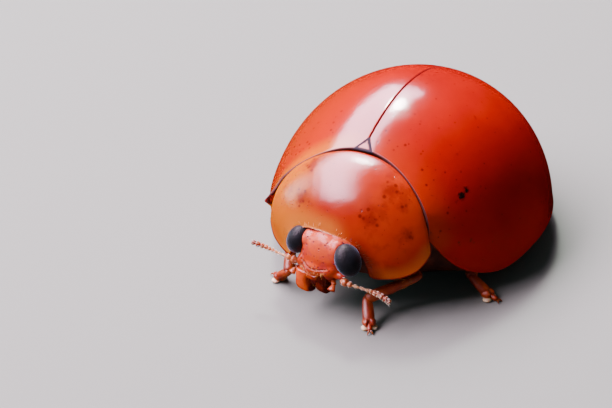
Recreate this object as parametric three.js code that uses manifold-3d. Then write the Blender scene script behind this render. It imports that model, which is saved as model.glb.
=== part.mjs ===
// A ladybird at life size: an unspotted red-orange beetle, 8 mm long, standing with its head turned.
// Millimetres, +Z up. The head points towards -Y, so the insect's left side is at +X.
// The origin is on the ground, under the middle of the insect.
import * as THREE from "three";
import { mergeVertices } from "three/addons/utils/BufferGeometryUtils.js";
import Module from "manifold-3d";

const wasm = await Module();
wasm.setup();

/* ---------------------------------------------------------------- driving dimensions */

const SIDES = { left: 1, right: -1 };
const GAP = 0.04; // clearance between two plates that meet
const FAR = 10; // longer than the insect, for cutting blocks
const SHELL = 0.5; // thickness of the wing cases and of the pronotum

// The two wing cases together are one dome. Its rim is level behind and sweeps up at the shoulders.
const DOME = { y: 0.5, halfWidth: 3.19, front: 3.66, back: 3.59, top: 3.89 };
const RIM = { height: 0.59, rise: 3.6, power: 4, highest: 3.5 };
const BELLY_HEIGHT = 0.5; // lowest point of the underside

// The front edge of the wing cases seen from above is an arc, open towards the head.
const BASE_ARC = { y: -1.71, halfWidth: 2.09, bend: 0.79 };
const SCUTELLUM = { halfWidth: 0.28, length: 0.4, sunk: 0.03 };

// The pronotum is the shield over the neck: a shell with a swept lower margin and a notch for the head.
const PRONOTUM = { centre: [0, -1.85, 1.55], radii: [2.24, 1.45, 1.75] };
const MARGIN = { frontY: -3.0, frontHeight: 1.02, hindY: -2.42, hindHeight: 1.7 };
const NOTCH = { halfWidth: 0.84, foot: 0.9, top: 2.02, power: 3, depth: -2.6 };

const COLLAR = { halfWidth: 1.5, front: -2.85, back: -1.0, floor: 0.95 };
const KEEL = { centre: [0, -2.15, 0.98], radii: [0.6, 0.55, 0.42] };

// The head hangs upright in the notch and is turned to the insect's right.
const HEAD = { centre: [-0.17, -3.22, 1.42], turn: -15, radii: [0.93, 0.44, 0.64] };
const HEAD_SHAPE = { boxiness: 2.3, narrowing: 0.25 };
const MUZZLE = { centre: [0, -0.14, -0.3], radii: [0.62, 0.34, 0.32] };
const EYE = { centre: [0.73, -0.11, 0.18], radii: [0.3, 0.34, 0.37] };
const UPPER_LIP = { centre: [0, -0.38, -0.28], radii: [0.46, 0.17, 0.15] };
const LOWER_LIP = { centre: [0, -0.12, -0.6], radii: [0.42, 0.26, 0.2] };
const JAW = { centre: [0.34, -0.36, -0.6], radii: [0.23, 0.2, 0.27] };
const MOUTH_FEELER = {
  path: [
    [0.5, 0.06, -0.4],
    [0.72, -0.06, -0.52],
    [0.8, -0.28, -0.62],
  ],
  radius: 0.18,
};

// Antennae: a stout first joint, a stalk and a club of three joints.
const ANTENNA = { joints: 6, clubJoints: 3, stalk: 0.19, club: 0.24 };
const ANTENNA_CURVES = {
  left: [
    [0.36, -3.62, 1.1],
    [0.66, -3.66, 1.08],
    [1.0, -3.56, 0.98],
    [1.26, -3.5, 0.88],
    [1.44, -3.5, 0.78],
  ],
  right: [
    [-0.86, -3.3, 1.12],
    [-1.15, -3.33, 1.18],
    [-1.45, -3.3, 1.22],
    [-1.75, -3.28, 1.27],
    [-1.94, -3.3, 1.3],
  ],
};

// Each leg has a hip on the body, a knee, an ankle and the point where its claws touch the ground.
const HIPS = { front: [0.42, -2.2, 0.74], middle: [0.78, -1.05, 0.52], hind: [0.88, 0.4, 0.52] };
const LEGS = {
  front_left: leg("front", 1, [1.66, -2.36, 0.84], [0.78, -3.22, 0.52], [1.14, -3.8, 0]),
  front_right: leg("front", -1, [-1.72, -2.08, 0.84], [-1.36, -2.9, 0.5], [-2.0, -2.5, 0]),
  middle_left: leg("middle", 1, [2.05, -0.5, 0.64], [2.42, -1.34, 0.44], [3.15, -1.46, 0]),
  middle_right: leg("middle", -1, [-2.0, -0.3, 0.64], [-2.2, -1.0, 0.44], [-2.78, -0.66, 0]),
  hind_left: leg("hind", 1, [2.02, 1.05, 0.64], [1.9, 2.0, 0.44], [2.12, 2.62, 0]),
  hind_right: leg("hind", -1, [-2.05, 0.95, 0.64], [-2.02, 1.95, 0.44], [-2.34, 2.62, 0]),
};
const HIP_RADII = [0.34, 0.3, 0.26];
const THIGH = { radius: 0.31, flatness: 0.85 };
const SHIN = { radius: 0.25, flatness: 0.95 };
// Along the foot, places are [share of the way from ankle to toe, rise] and profiles [share, radius].
const FOOT = {
  lobesStart: [0.08, 0.02],
  lobesEnd: [0.66, 0.06],
  lobes: [[0, 0.2], [0.4, 0.22], [0.55, 0.19], [1, 0.26]],
  jointStart: [0.66, 0.1],
  jointEnd: [0.94, 0.13],
  joint: [[0, 0.19], [1, 0.16]],
  clawRoot: [0.9, 0.12],
};
const CLAW = { spread: 0.15, reach: 0.1, height: 0.04, radius: 0.09 };

const BELLY_SEAM = { y: 0.8, bend: 0.35 }; // between thorax and abdomen, behind the hind hips

function leg(pair, sign, knee, ankle, toe) {
  return { hip: mirrored(HIPS[pair], sign), knee, ankle, toe };
}

// A point on the left side of the insect, or the same one on its right.
function mirrored([x, y, z], sign) {
  return [x * sign, y, z];
}

/* ---------------------------------------------------------------- materials */

const finish = (color, roughness) =>
  new THREE.MeshStandardMaterial({ color, roughness, metalness: 0 });
const WING_CASE_RED = finish(0xd92a0b, 0.18);
const PRONOTUM_ORANGE = finish(0xdf5a14, 0.22);
const HEAD_ORANGE = finish(0xdd4a16, 0.3);
const LIMB_ORANGE = finish(0xb0461a, 0.35);
const UNDERSIDE_BROWN = finish(0xa8431a, 0.4);
const EYE_BLACK = finish(0x16171c, 0.25);
const MOUTH_BROWN = finish(0x5a1d10, 0.35);

/* ---------------------------------------------------------------- solids */

const WELD = 1e-5; // corners nearer than this are one
const vector = (point) => new THREE.Vector3(...point);

// A three.js geometry as a solid.
function solid(geometry) {
  const bare = geometry.clone();
  bare.deleteAttribute("normal");
  bare.deleteAttribute("uv");
  const merged = mergeVertices(bare, WELD);
  return new wasm.Manifold(
    new wasm.Mesh({
      numProp: 3,
      vertProperties: merged.attributes.position.array,
      triVerts: new Uint32Array(merged.index.array),
    }),
  );
}

const ladybird = new THREE.Group();

// Adds a solid to the insect as a named mesh. Of what a cut has parted, only the main piece is kept.
function add(name, form, material) {
  const [largest] = form.decompose().sort((a, b) => b.volume() - a.volume());
  const { vertProperties, triVerts, numProp, numVert } = largest.getMesh();
  const corners = new Float32Array(numVert * 3);
  for (let i = 0; i < numVert; i++) {
    corners.set(vertProperties.subarray(i * numProp, i * numProp + 3), i * 3);
  }
  const geometry = new THREE.BufferGeometry();
  geometry.setAttribute("position", new THREE.BufferAttribute(corners, 3));
  geometry.setIndex(new THREE.BufferAttribute(triVerts, 1));
  geometry.computeVertexNormals();
  const part = new THREE.Mesh(geometry, material);
  part.name = name;
  ladybird.add(part);
}

const joined = (first, ...others) => others.reduce((sum, other) => sum.add(other), first);
const without = (form, ...others) => others.reduce((left, other) => left.subtract(other), form);

// Moves each corner of a geometry by a function of its place.
function reshaped(geometry, place) {
  const position = geometry.attributes.position;
  const corner = new THREE.Vector3();
  for (let i = 0; i < position.count; i++) {
    corner.fromBufferAttribute(position, i);
    place(corner);
    position.setXYZ(i, corner.x, corner.y, corner.z);
  }
  return geometry;
}

// A unit ball with its poles above and below.
const ball = (around, down) => new THREE.SphereGeometry(1, around, down).rotateX(Math.PI / 2);

// An ellipsoid, grown by a clearance on every side.
function ellipsoid({ centre, radii }, grow = 0, around = 14, down = 8) {
  const [rx, ry, rz] = radii.map((r) => r + grow);
  return solid(ball(around, down).scale(rx, ry, rz).translate(...centre));
}

function block(x0, x1, y0, y1, z0, z1) {
  const box = new THREE.BoxGeometry(x1 - x0, y1 - y0, z1 - z0);
  return solid(box.translate((x0 + x1) / 2, (y0 + y1) / 2, (z0 + z1) / 2));
}

// An upright prism on an outline of [x, y] points, higher and deeper than the insect.
function prism(outline) {
  const shape = new THREE.Shape(outline.map(([x, y]) => new THREE.Vector2(x, y)));
  const body = new THREE.ExtrudeGeometry(shape, { depth: 2 * FAR, bevelEnabled: false });
  return solid(body.translate(0, 0, -FAR));
}

// A prism on an outline of [y, z] points that runs from side to side.
function crossways(outline) {
  return prism(outline).rotate([90, 0, 90]);
}

// A prism on an outline of [x, z] points that runs back from the front to a given y.
function lengthways(outline, end) {
  return prism(outline).rotate([90, 0, 0]).translate([0, end - FAR, 0]);
}

// A limb joint from one point to another, turned on a lathe from [share of the length, radius] pairs
// and closed by blunt ends. Flatness below 1 makes it thinner across its height.
const BLUNT = 0.7;
function limb(from, to, profile, { grow = 0, sides = 7, flatness = 1 } = {}) {
  const start = vector(from);
  const forward = vector(to).sub(start);
  const length = forward.length();
  forward.normalize();
  const rings = profile.map(([share, radius]) => new THREE.Vector2(radius + grow, share * length));
  const tail = rings[0].y - rings[0].x * BLUNT;
  const tip = rings.at(-1).y + rings.at(-1).x * BLUNT;
  const closed = [new THREE.Vector2(0, tail), ...rings, new THREE.Vector2(0, tip)];
  const turned = new THREE.LatheGeometry(closed, sides);
  turned.scale(1, 1, flatness);
  const side = new THREE.Vector3().crossVectors(forward, new THREE.Vector3(0, 0, 1)).normalize();
  const up = new THREE.Vector3().crossVectors(side, forward);
  turned.applyMatrix4(new THREE.Matrix4().makeBasis(side, forward, up).setPosition(start));
  return solid(turned);
}

/* ---------------------------------------------------------------- wing cases */

const TINY = 1e-6;
const SHELL_MESH = [36, 18]; // corners round and down the outside of the dome
const BODY_MESH = [24, 12]; // the same for its inside and for the body under it

function rimHeight(y) {
  const forward = Math.max(0, (DOME.y - y) / DOME.front);
  return Math.min(RIM.highest, RIM.height + RIM.rise * forward ** RIM.power);
}

const baseArcY = (x) => BASE_ARC.y - BASE_ARC.bend * (x / BASE_ARC.halfWidth) ** 2;

// The dome, made smaller by an inset. Below the rim it goes down to lower(rim height, depth 0 to 1).
function dome(inset, lower, [around, down]) {
  return solid(
    reshaped(ball(around, down), (p) => {
      p.x *= DOME.halfWidth - inset;
      p.y = DOME.y + p.y * ((p.y < 0 ? DOME.front : DOME.back) - inset);
      const rim = rimHeight(p.y);
      p.z = p.z < -TINY ? lower(rim, -p.z) : rim + (DOME.top - inset - rim) * Math.abs(p.z);
    }),
  );
}
const flat = (rim) => rim;
const skirt = (rim) => rim - DOME.top;
const belly = (rim, depth) => rim - (rim - BELLY_HEIGHT) * depth;

// Everything in front of the arc where the wing cases begin, moved back by an offset.
function aheadOfArc(offset) {
  const steps = 20;
  const reach = DOME.halfWidth;
  const arc = [];
  for (let i = 0; i <= steps; i++) {
    const x = reach - (2 * reach * i) / steps;
    arc.push([x, baseArcY(x) + offset]);
  }
  return prism([...arc, [-reach, -FAR], [reach, -FAR]]);
}

// The wedge between the wing cases that the scutellum fills.
function scutellumWedge(grow) {
  const halfWidth = SCUTELLUM.halfWidth + grow;
  const tip = BASE_ARC.y + SCUTELLUM.length + grow * 2;
  const front = BASE_ARC.y - SCUTELLUM.length;
  const left = [[halfWidth, front], [halfWidth, BASE_ARC.y]];
  const right = [[-halfWidth, BASE_ARC.y], [-halfWidth, front]];
  return prism([...left, [0, tip], ...right]);
}

function wingCases() {
  const hollow = dome(SHELL, skirt, BODY_MESH);
  const shell = without(dome(0, flat, SHELL_MESH), hollow, aheadOfArc(0), scutellumWedge(GAP));
  for (const [side, sign] of Object.entries(SIDES)) {
    const half = block(GAP / 2, FAR, -FAR, FAR, -FAR, FAR).rotate([0, 0, sign > 0 ? 0 : 180]);
    add(`wing_case_${side}`, shell.intersect(half), WING_CASE_RED);
  }
  const plate = without(dome(SCUTELLUM.sunk, flat, SHELL_MESH), hollow, aheadOfArc(0));
  add("scutellum", plate.intersect(scutellumWedge(0)), PRONOTUM_ORANGE);
}

/* ---------------------------------------------------------------- head */

// Puts a form that is modelled round the middle of the head into its place on the turned head.
const onHead = (form) => form.rotate([0, 0, HEAD.turn]).translate(HEAD.centre);

// The head capsule is a rounded box that narrows a little towards the mouth, with the muzzle below it.
function headCapsule(grow = 0) {
  const [rx, ry, rz] = HEAD.radii.map((r) => r + grow);
  const power = HEAD_SHAPE.boxiness;
  const capsule = reshaped(ball(20, 10), (p) => {
    const sum = Math.abs(p.x) ** power + Math.abs(p.y) ** power + Math.abs(p.z) ** power;
    const length = sum ** (1 / power);
    const narrowing = 1 + HEAD_SHAPE.narrowing * Math.min(0, p.z);
    p.set((p.x * rx * narrowing) / length, (p.y * ry) / length, (p.z * rz) / length);
  });
  return solid(capsule).add(ellipsoid(MUZZLE, grow, 12, 6));
}

const eye = (sign, grow = 0) => ellipsoid({ ...EYE, centre: mirrored(EYE.centre, sign) }, grow);
const upperLip = (grow = 0) => ellipsoid(UPPER_LIP, grow, 12, 6);
const lowerLip = (grow = 0) => ellipsoid(LOWER_LIP, grow, 12, 6);
const jaw = (sign, grow = 0) => ellipsoid({ ...JAW, centre: mirrored(JAW.centre, sign) }, grow, 10, 6);

// A mouth feeler has a short stalk and a wide end like an axe head.
function mouthFeeler(sign) {
  const thick = MOUTH_FEELER.radius;
  const [root, bend, tip] = MOUTH_FEELER.path.map((point) => mirrored(point, sign));
  const stalk = limb(root, bend, [[0, thick * 0.8], [1, thick * 0.9]], { sides: 6 });
  const end = limb(bend, tip, [[0.1, thick * 0.8], [0.9, thick]], { sides: 8 });
  return stalk.add(end);
}

function head() {
  const eyes = [eye(1, GAP), eye(-1, GAP)];
  const mouth = [upperLip(GAP), lowerLip(GAP), jaw(1, GAP), jaw(-1, GAP)];
  add("head", onHead(without(headCapsule(), ...eyes, ...mouth)), HEAD_ORANGE);
  add("upper_lip", onHead(upperLip()), HEAD_ORANGE);
  add("lower_lip", onHead(without(lowerLip(), jaw(1, GAP), jaw(-1, GAP))), MOUTH_BROWN);
  for (const [side, sign] of Object.entries(SIDES)) {
    const neighbours = [headCapsule(GAP), lowerLip(GAP), jaw(sign, GAP), upperLip(GAP)];
    add(`eye_${side}`, onHead(eye(sign)), EYE_BLACK);
    add(`jaw_${side}`, onHead(without(jaw(sign), upperLip(GAP))), MOUTH_BROWN);
    add(`mouth_feeler_${side}`, onHead(without(mouthFeeler(sign), ...neighbours)), LIMB_ORANGE);
  }
}

/* ---------------------------------------------------------------- antennae */

function antenna(points) {
  const curve = new THREE.CatmullRomCurve3(points.map(vector));
  const beads = [];
  for (let i = 0; i < ANTENNA.joints; i++) {
    const from = curve.getPointAt(i / ANTENNA.joints).toArray();
    const to = curve.getPointAt((i + 1) / ANTENNA.joints).toArray();
    const inClub = i >= ANTENNA.joints - ANTENNA.clubJoints;
    const radius = inClub ? ANTENNA.club : ANTENNA.stalk;
    beads.push(limb(from, to, [[0.1, radius * 0.85], [0.9, radius]], { sides: 6 }));
  }
  return joined(...beads);
}

function antennae() {
  for (const [side, sign] of Object.entries(SIDES)) {
    const onFace = [headCapsule(GAP), eye(sign, GAP)].map(onHead);
    const feeler = onHead(mouthFeeler(sign));
    add(`antenna_${side}`, without(antenna(ANTENNA_CURVES[side]), ...onFace, feeler), LIMB_ORANGE);
  }
}

/* ---------------------------------------------------------------- pronotum and prothorax */

// Everything below the pronotum's lower margin, which sweeps down from the shoulders to the cheeks.
function belowMargin(drop) {
  const steps = 6;
  const sweep = [];
  for (let i = 0; i <= steps; i++) {
    const share = i / steps;
    const y = MARGIN.frontY + (MARGIN.hindY - MARGIN.frontY) * share;
    sweep.push([y, MARGIN.frontHeight + (MARGIN.hindHeight - MARGIN.frontHeight) * share ** 2 - drop]);
  }
  const front = [[-FAR, MARGIN.frontHeight - drop], [-FAR, -FAR]];
  const back = [[FAR, -FAR], [FAR, MARGIN.hindHeight - drop]];
  return crossways([...front, ...back, ...sweep.reverse()]);
}

// The notch in the front edge of the pronotum, an arch that the head hangs in.
function notch() {
  const steps = 12;
  const arch = [];
  for (let i = 0; i <= steps; i++) {
    const angle = (Math.PI * i) / steps;
    const across = Math.sign(Math.cos(angle)) * Math.abs(Math.cos(angle)) ** (2 / NOTCH.power);
    const height = Math.sin(angle) ** (2 / NOTCH.power);
    arch.push([NOTCH.halfWidth * across, NOTCH.foot + (NOTCH.top - NOTCH.foot) * height]);
  }
  return lengthways([...arch, [-NOTCH.halfWidth, -FAR], [NOTCH.halfWidth, -FAR]], NOTCH.depth);
}

const headRoom = (grow) => [headCapsule(grow), eye(1, grow), eye(-1, grow)].map(onHead);

function pronotum() {
  const outer = ellipsoid(PRONOTUM, 0, 28, 16);
  const inner = ellipsoid(PRONOTUM, -SHELL, 18, 10);
  const shield = without(outer, inner, belowMargin(0), notch(), ...headRoom(GAP));
  add("pronotum", shield.intersect(aheadOfArc(-GAP)), PRONOTUM_ORANGE);
}

// The underside of the first ring of the thorax: it fills the pronotum and carries the front legs.
function prothorax() {
  const filling = ellipsoid(PRONOTUM, -SHELL - GAP, 18, 10);
  const { halfWidth, front, back, floor } = COLLAR;
  const collar = filling.intersect(block(-halfWidth, halfWidth, front, back, floor, FAR));
  const ring = collar.add(ellipsoid(KEEL)).intersect(aheadOfArc(-GAP));
  const legs = [LEGS.front_left, LEGS.front_right].flatMap(legRoom);
  add("prothorax", without(ring, ...headRoom(GAP), onHead(lowerLip(GAP)), ...legs), UNDERSIDE_BROWN);
}

/* ---------------------------------------------------------------- legs */

const hip = (leg, grow = 0) => ellipsoid({ centre: leg.hip, radii: HIP_RADII }, grow, 8, 4);

function thigh(leg, grow = 0) {
  const { radius, flatness } = THIGH;
  const profile = [[0.12, radius * 0.75], [0.45, radius], [0.97, radius * 0.68]];
  return limb(leg.hip, leg.knee, profile, { grow, flatness });
}

function shin(leg, grow = 0) {
  const { radius, flatness } = SHIN;
  const profile = [[0.1, radius * 0.8], [0.8, radius], [0.97, radius * 0.85]];
  return limb(leg.knee, leg.ankle, profile, { grow, flatness });
}

// Room for a leg where it lies against the body.
const legRoom = (leg) => [hip(leg, GAP), thigh(leg, GAP), shin(leg, GAP)];

// A foot has two lobed joints and a claw joint that ends in two claws. It is cut flat at the ground.
function foot({ ankle, toe }) {
  const start = vector(ankle);
  const end = vector(toe);
  const at = ([share, rise]) => start.clone().lerp(end, share).add(vector([0, 0, rise])).toArray();
  const heading = end.clone().sub(start).setZ(0).normalize();
  const claws = Object.values(SIDES).map((sign) => {
    const x = end.x + heading.x * CLAW.reach - heading.y * CLAW.spread * sign;
    const y = end.y + heading.y * CLAW.reach + heading.x * CLAW.spread * sign;
    const profile = [[0.1, CLAW.radius], [0.95, CLAW.radius]];
    return limb(at(FOOT.clawRoot), [x, y, CLAW.height], profile, { sides: 5 });
  });
  const lobes = limb(at(FOOT.lobesStart), at(FOOT.lobesEnd), FOOT.lobes, { sides: 6 });
  const clawJoint = limb(at(FOOT.jointStart), at(FOOT.jointEnd), FOOT.joint, { sides: 5 });
  const underGround = block(-FAR, FAR, -FAR, FAR, -FAR, 0);
  return without(joined(lobes, clawJoint, ...claws), underGround);
}

function legs() {
  for (const [name, leg] of Object.entries(LEGS)) {
    add(`hip_${name}`, without(hip(leg), thigh(leg, GAP)), UNDERSIDE_BROWN);
    add(`thigh_${name}`, thigh(leg), LIMB_ORANGE);
    add(`shin_${name}`, without(shin(leg), thigh(leg, GAP)), LIMB_ORANGE);
    add(`foot_${name}`, without(foot(leg), shin(leg, GAP)), LIMB_ORANGE);
  }
}

/* ---------------------------------------------------------------- thorax and abdomen */

// Everything behind the seam across the belly, moved back by an offset.
function behindSeam(offset) {
  const steps = 8;
  const reach = DOME.halfWidth;
  const arc = [];
  for (let i = 0; i <= steps; i++) {
    const x = -reach + (2 * reach * i) / steps;
    arc.push([x, BELLY_SEAM.y - BELLY_SEAM.bend * (x / reach) ** 2 + offset]);
  }
  return prism([...arc, [reach, FAR], [-reach, FAR]]);
}

function trunk() {
  const body = without(dome(SHELL + GAP, belly, BODY_MESH), aheadOfArc(GAP));
  const hindLegs = [LEGS.hind_left, LEGS.hind_right].flatMap(legRoom);
  const middleLegs = [LEGS.middle_left, LEGS.middle_right].flatMap(legRoom);
  add("thorax", without(body, behindSeam(-GAP / 2), ...middleLegs, ...hindLegs), UNDERSIDE_BROWN);
  add("abdomen", without(body.intersect(behindSeam(GAP / 2)), ...hindLegs), UNDERSIDE_BROWN);
}

/* ---------------------------------------------------------------- the insect */

wingCases();
pronotum();
head();
antennae();
prothorax();
trunk();
legs();

export default ladybird;
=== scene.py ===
# %% [markdown]
# # A ladybird at life size
# This lesson dresses the solid model of an unspotted red ladybird, 8 mm long, so that it looks like the
# real beetle. Every plate of its armour and every part of a leg becomes a mesh of its own, the bristles of
# a part are one mesh, and each takes its place from the solid that it stands for.
#
# It has to come first, because every later step measures them.

import random
from contextlib import contextmanager
from math import acos, atan2, cos, exp, pi, radians, sin, sqrt, tau

import bmesh
import bpy
from mathutils import Matrix, Vector
from mathutils.kdtree import KDTree


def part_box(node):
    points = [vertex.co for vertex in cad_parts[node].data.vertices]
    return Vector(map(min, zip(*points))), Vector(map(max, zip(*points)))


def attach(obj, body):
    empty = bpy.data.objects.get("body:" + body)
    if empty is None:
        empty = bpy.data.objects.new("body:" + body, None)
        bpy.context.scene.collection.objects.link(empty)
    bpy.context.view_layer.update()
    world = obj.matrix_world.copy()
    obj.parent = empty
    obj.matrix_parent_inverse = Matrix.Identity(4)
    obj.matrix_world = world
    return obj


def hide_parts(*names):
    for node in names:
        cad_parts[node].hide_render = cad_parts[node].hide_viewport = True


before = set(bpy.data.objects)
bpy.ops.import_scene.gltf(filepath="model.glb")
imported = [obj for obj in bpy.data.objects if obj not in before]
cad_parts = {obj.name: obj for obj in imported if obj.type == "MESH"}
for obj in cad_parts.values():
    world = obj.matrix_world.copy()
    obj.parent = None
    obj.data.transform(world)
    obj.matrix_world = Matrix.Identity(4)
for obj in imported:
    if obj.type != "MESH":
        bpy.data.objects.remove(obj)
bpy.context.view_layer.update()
MM = 0.001

# %% [markdown]
# ## A workbench in millimetres
# Blender's tools weld and bevel by lengths that suit furniture, and an insect's foot is smaller than all
# of them. So each piece is modelled as if a millimetre were a whole unit, and is shrunk to metres when it
# is done. The first helpers turn the solids' boxes into millimetres.

# %% Measure the solids
def box_mm(node):
    """The lowest and highest corner of a solid, in millimetres."""
    low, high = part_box(node)
    return low / MM, high / MM


def inside(node, *shares):
    """A point in a solid's box, given by its share of the way along each side."""
    low, high = box_mm(node)
    return Vector(a + (b - a) * share for a, b, share in zip(low, high, shares))


print("left wing case in mm:", [round(c, 2) for corner in box_mm("wing_case_left") for c in corner])

# %% [markdown]
# ## Hands
# By hand, a maker selects one thing, goes into edit mode, picks some faces and uses a tool on them. These
# helpers are those same movements. The solids arrive selected and a new primitive is selected all over, so
# everything is put down before anything is picked up.

# %% Selecting and editing
def only(*pieces):
    """Selects these pieces and nothing else."""
    if bpy.context.object and bpy.context.object.mode != "OBJECT":
        bpy.ops.object.mode_set(mode="OBJECT")
    bpy.ops.object.select_all(action="DESELECT")
    for piece in pieces:
        piece.select_set(True)
    bpy.context.view_layer.objects.active = pieces[0]


def called(name):
    """Names the primitive that was just added."""
    piece = bpy.context.object
    piece.name = piece.data.name = name
    return piece


@contextmanager
def editing(piece, action="DESELECT"):
    """Edit mode with nothing selected, or with everything, for as long as the block lasts."""
    only(piece)
    bpy.ops.object.mode_set(mode="EDIT")
    bpy.ops.mesh.select_all(action=action)
    yield
    bpy.ops.object.mode_set(mode="OBJECT")


def pick(piece, wanted, kind="FACE"):
    """In edit mode, selects the faces, edges or vertices whose middle passes a test."""
    bpy.ops.mesh.select_mode(type=kind)
    bpy.ops.mesh.select_all(action="DESELECT")
    mesh = bmesh.from_edit_mesh(piece.data)
    if kind == "VERT":
        for vertex in mesh.verts:
            vertex.select_set(wanted(vertex.co))
    elif kind == "EDGE":
        for edge in mesh.edges:
            edge.select_set(edge.is_boundary and wanted((edge.verts[0].co + edge.verts[1].co) / 2))
    else:
        for face in mesh.faces:
            face.select_set(wanted(face.calc_center_median()))
    bmesh.update_edit_mesh(piece.data)


# %% [markdown]
# More movements: a modifier that is added and applied at once, a shape that a formula gives better than
# any tool, and the joining of several parts into one. Where such parts overlap, a voxel remesh gives them
# one even skin.

# %% Modifying and joining
def modify(piece, kind, **settings):
    """Adds a modifier, sets it and applies it."""
    only(piece)
    bpy.ops.object.modifier_add(type=kind)
    modifier = piece.modifiers[-1]
    for name, value in settings.items():
        setattr(modifier, name, value)
    bpy.ops.object.modifier_apply(modifier=modifier.name)


def smooth(piece, levels=1):
    modify(piece, "SUBSURF", levels=levels, render_levels=levels)


def fuse(piece, voxel, rounds=0):
    """Gives overlapping parts one even skin, and evens it out in some rounds."""
    modify(piece, "REMESH", mode="VOXEL", voxel_size=voxel)
    if rounds:
        modify(piece, "SMOOTH", factor=0.5, iterations=rounds)


def reshape(piece, place):
    """Moves every vertex by a function of where it is."""
    for vertex in piece.data.vertices:
        vertex.co = place(vertex.co)


def apply_place(piece):
    """Writes a piece's turn, size and place into its mesh."""
    only(piece)
    bpy.ops.object.transform_apply(location=True, rotation=True, scale=True)


def join(name, parts):
    """Makes several parts one piece."""
    only(*parts)
    if len(parts) > 1:
        bpy.ops.object.join()
    return called(name)


# %% [markdown]
# Tools leave corners that lie on each other, and a mirrored shape is inside out. Both are put right here.
# The last helper stores a number with each vertex, such as its distance from an edge, for the paint to
# read: it stays right through every later step.

# %% Welding, turning and marking
def weld(piece, gap=1e-4, outward=True):
    """Merges corners that share a place, and turns the faces outwards."""
    with editing(piece, "SELECT"):
        bpy.ops.mesh.remove_doubles(threshold=gap)
        if outward:
            bpy.ops.mesh.normals_make_consistent(inside=False)


def turn_inside_out(piece):
    with editing(piece, "SELECT"):
        bpy.ops.mesh.flip_normals()


def mark(piece, name, measure):
    """Stores a number with each vertex, as a function of where it is."""
    layer = piece.data.attributes.new(name, "FLOAT", "POINT")
    for vertex, value in zip(piece.data.vertices, layer.data):
        value.value = measure(vertex.co)


# %% [markdown]
# Nothing on an insect starts or stops abruptly. So the formulas fade each roll, groove and swelling in and
# out, in one of three ways.

# %% Soft edges
def clamp(value):
    """A value, kept between nothing and one."""
    return min(1, max(0, value))


def fade(distance, width):
    """One on a line, falling straight to nothing at a width."""
    return max(0, 1 - distance / width)


def mound(value, middle, width):
    """One in the middle, falling in a rounded arc to nothing at a width."""
    return max(0, 1 - ((value - middle) / width) ** 2)


def bell(value, middle, spread):
    """One in the middle, running out softly to both sides."""
    return exp(-(((value - middle) / spread) ** 2))


print("half way to a width:", fade(1, 2), mound(1, 0, 2), round(bell(1, 0, 2), 2))

# %% [markdown]
# When a piece is done it is shrunk to metres, its normals are shaded smooth, and it is tied to the model:
# it rides on the body and stands for its solids.

# %% Finishing a piece
def done(piece, material, slot, *nodes):
    """Shrinks a finished piece to metres, paints it and ties it to the model."""
    only(piece)
    piece.scale = (MM, MM, MM)
    apply_place(piece)
    bpy.ops.object.shade_smooth()
    piece.data.materials.clear()
    piece.data.materials.append(material)
    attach(piece, "root")
    if nodes:
        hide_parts(*nodes)
    print(piece.name, "has", len(piece.data.polygons), "faces")


# %% [markdown]
# ## The studio
# The beetle stands on a plain pale floor. One wide soft lamp above its right side makes the broad pale
# gloss on its back, and a small one, a little behind, gives that gloss a bright core. A third stands low
# beside it. The rest of the room is dim, so the far flank falls into shade, and neither the room nor the
# floor shows in the varnish.

# %% Floor and lamps
FLOOR = {"size": 1.6, "colour": (0.185, 0.228, 0.194, 1), "roughness": 0.9}
ROOM = {"Color": (0.86, 0.9, 1, 1), "Strength": 0.09}
LAMP_AIM = Vector((0, 0, 2))  # in millimetres, as are the distance and the sizes
LAMP_DISTANCE = 90
LAMPS = (
    ("lamp_wide", (-0.56, 0.02, 0.83), (190, 50), 0.82, (1, 0.7, 0.89)),
    ("lamp_core", (-0.33, 0.5, 0.8), (10, 14), 0.1, (1, 0.98, 0.94)),
    ("lamp_side", (-0.94, -0.2, 0.28), (30, 50), 0.03, (0.7, 0.88, 1)),
)


def plain_floor():
    bpy.ops.mesh.primitive_plane_add(size=FLOOR["size"])
    piece = called("floor")
    paint = bpy.data.materials.new("floor_paper")
    paint.use_nodes = True
    shader = paint.node_tree.nodes["Principled BSDF"]
    shader.inputs["Base Color"].default_value = FLOOR["colour"]
    shader.inputs["Roughness"].default_value = FLOOR["roughness"]
    piece.data.materials.append(paint)
    piece.visible_glossy = False


def soft_lamp(name, toward, size, power, colour):
    """A square lamp that looks at the beetle from a direction."""
    bpy.ops.object.light_add(type="AREA")
    lamp = bpy.context.object
    lamp.name = name
    direction = Vector(toward).normalized()
    lamp.location = (direction * LAMP_DISTANCE + LAMP_AIM) * MM
    lamp.rotation_euler = direction.to_track_quat("Z", "Y").to_euler()
    lamp.data.shape = "RECTANGLE"
    lamp.data.size, lamp.data.size_y = (side * MM for side in size)
    lamp.data.energy = power
    lamp.data.color = colour


def dim_room():
    room = bpy.data.worlds.new("room")
    room.use_nodes = True
    room.cycles_visibility.glossy = False
    for label, value in ROOM.items():
        room.node_tree.nodes["Background"].inputs[label].default_value = value
    bpy.context.scene.world = room


plain_floor()
for lamp in LAMPS:
    soft_lamp(*lamp)
dim_room()
print("lamps:", [lamp[0] for lamp in LAMPS])

# %% [markdown]
# ## The camera
# A long lens close to the ground looks down at the beetle from in front and from its left. The camera is
# described as a photographer would: which way round, how high, how far, and how much it leans.

# %% Camera
VIEW = {"round": radians(28.1), "up": radians(30), "lean": radians(-2.1), "distance": 71.6}
SUBJECT = Vector((0, 0, 1.8))  # the middle of the beetle, in millimetres
FRAMING = (-2.138, -0.682)  # how far to the right of the beetle and above it the lens points
LENS_MM = 185.4
CLIP = (0.005, 10)  # the nearest and the furthest that it sees, in metres


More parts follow.
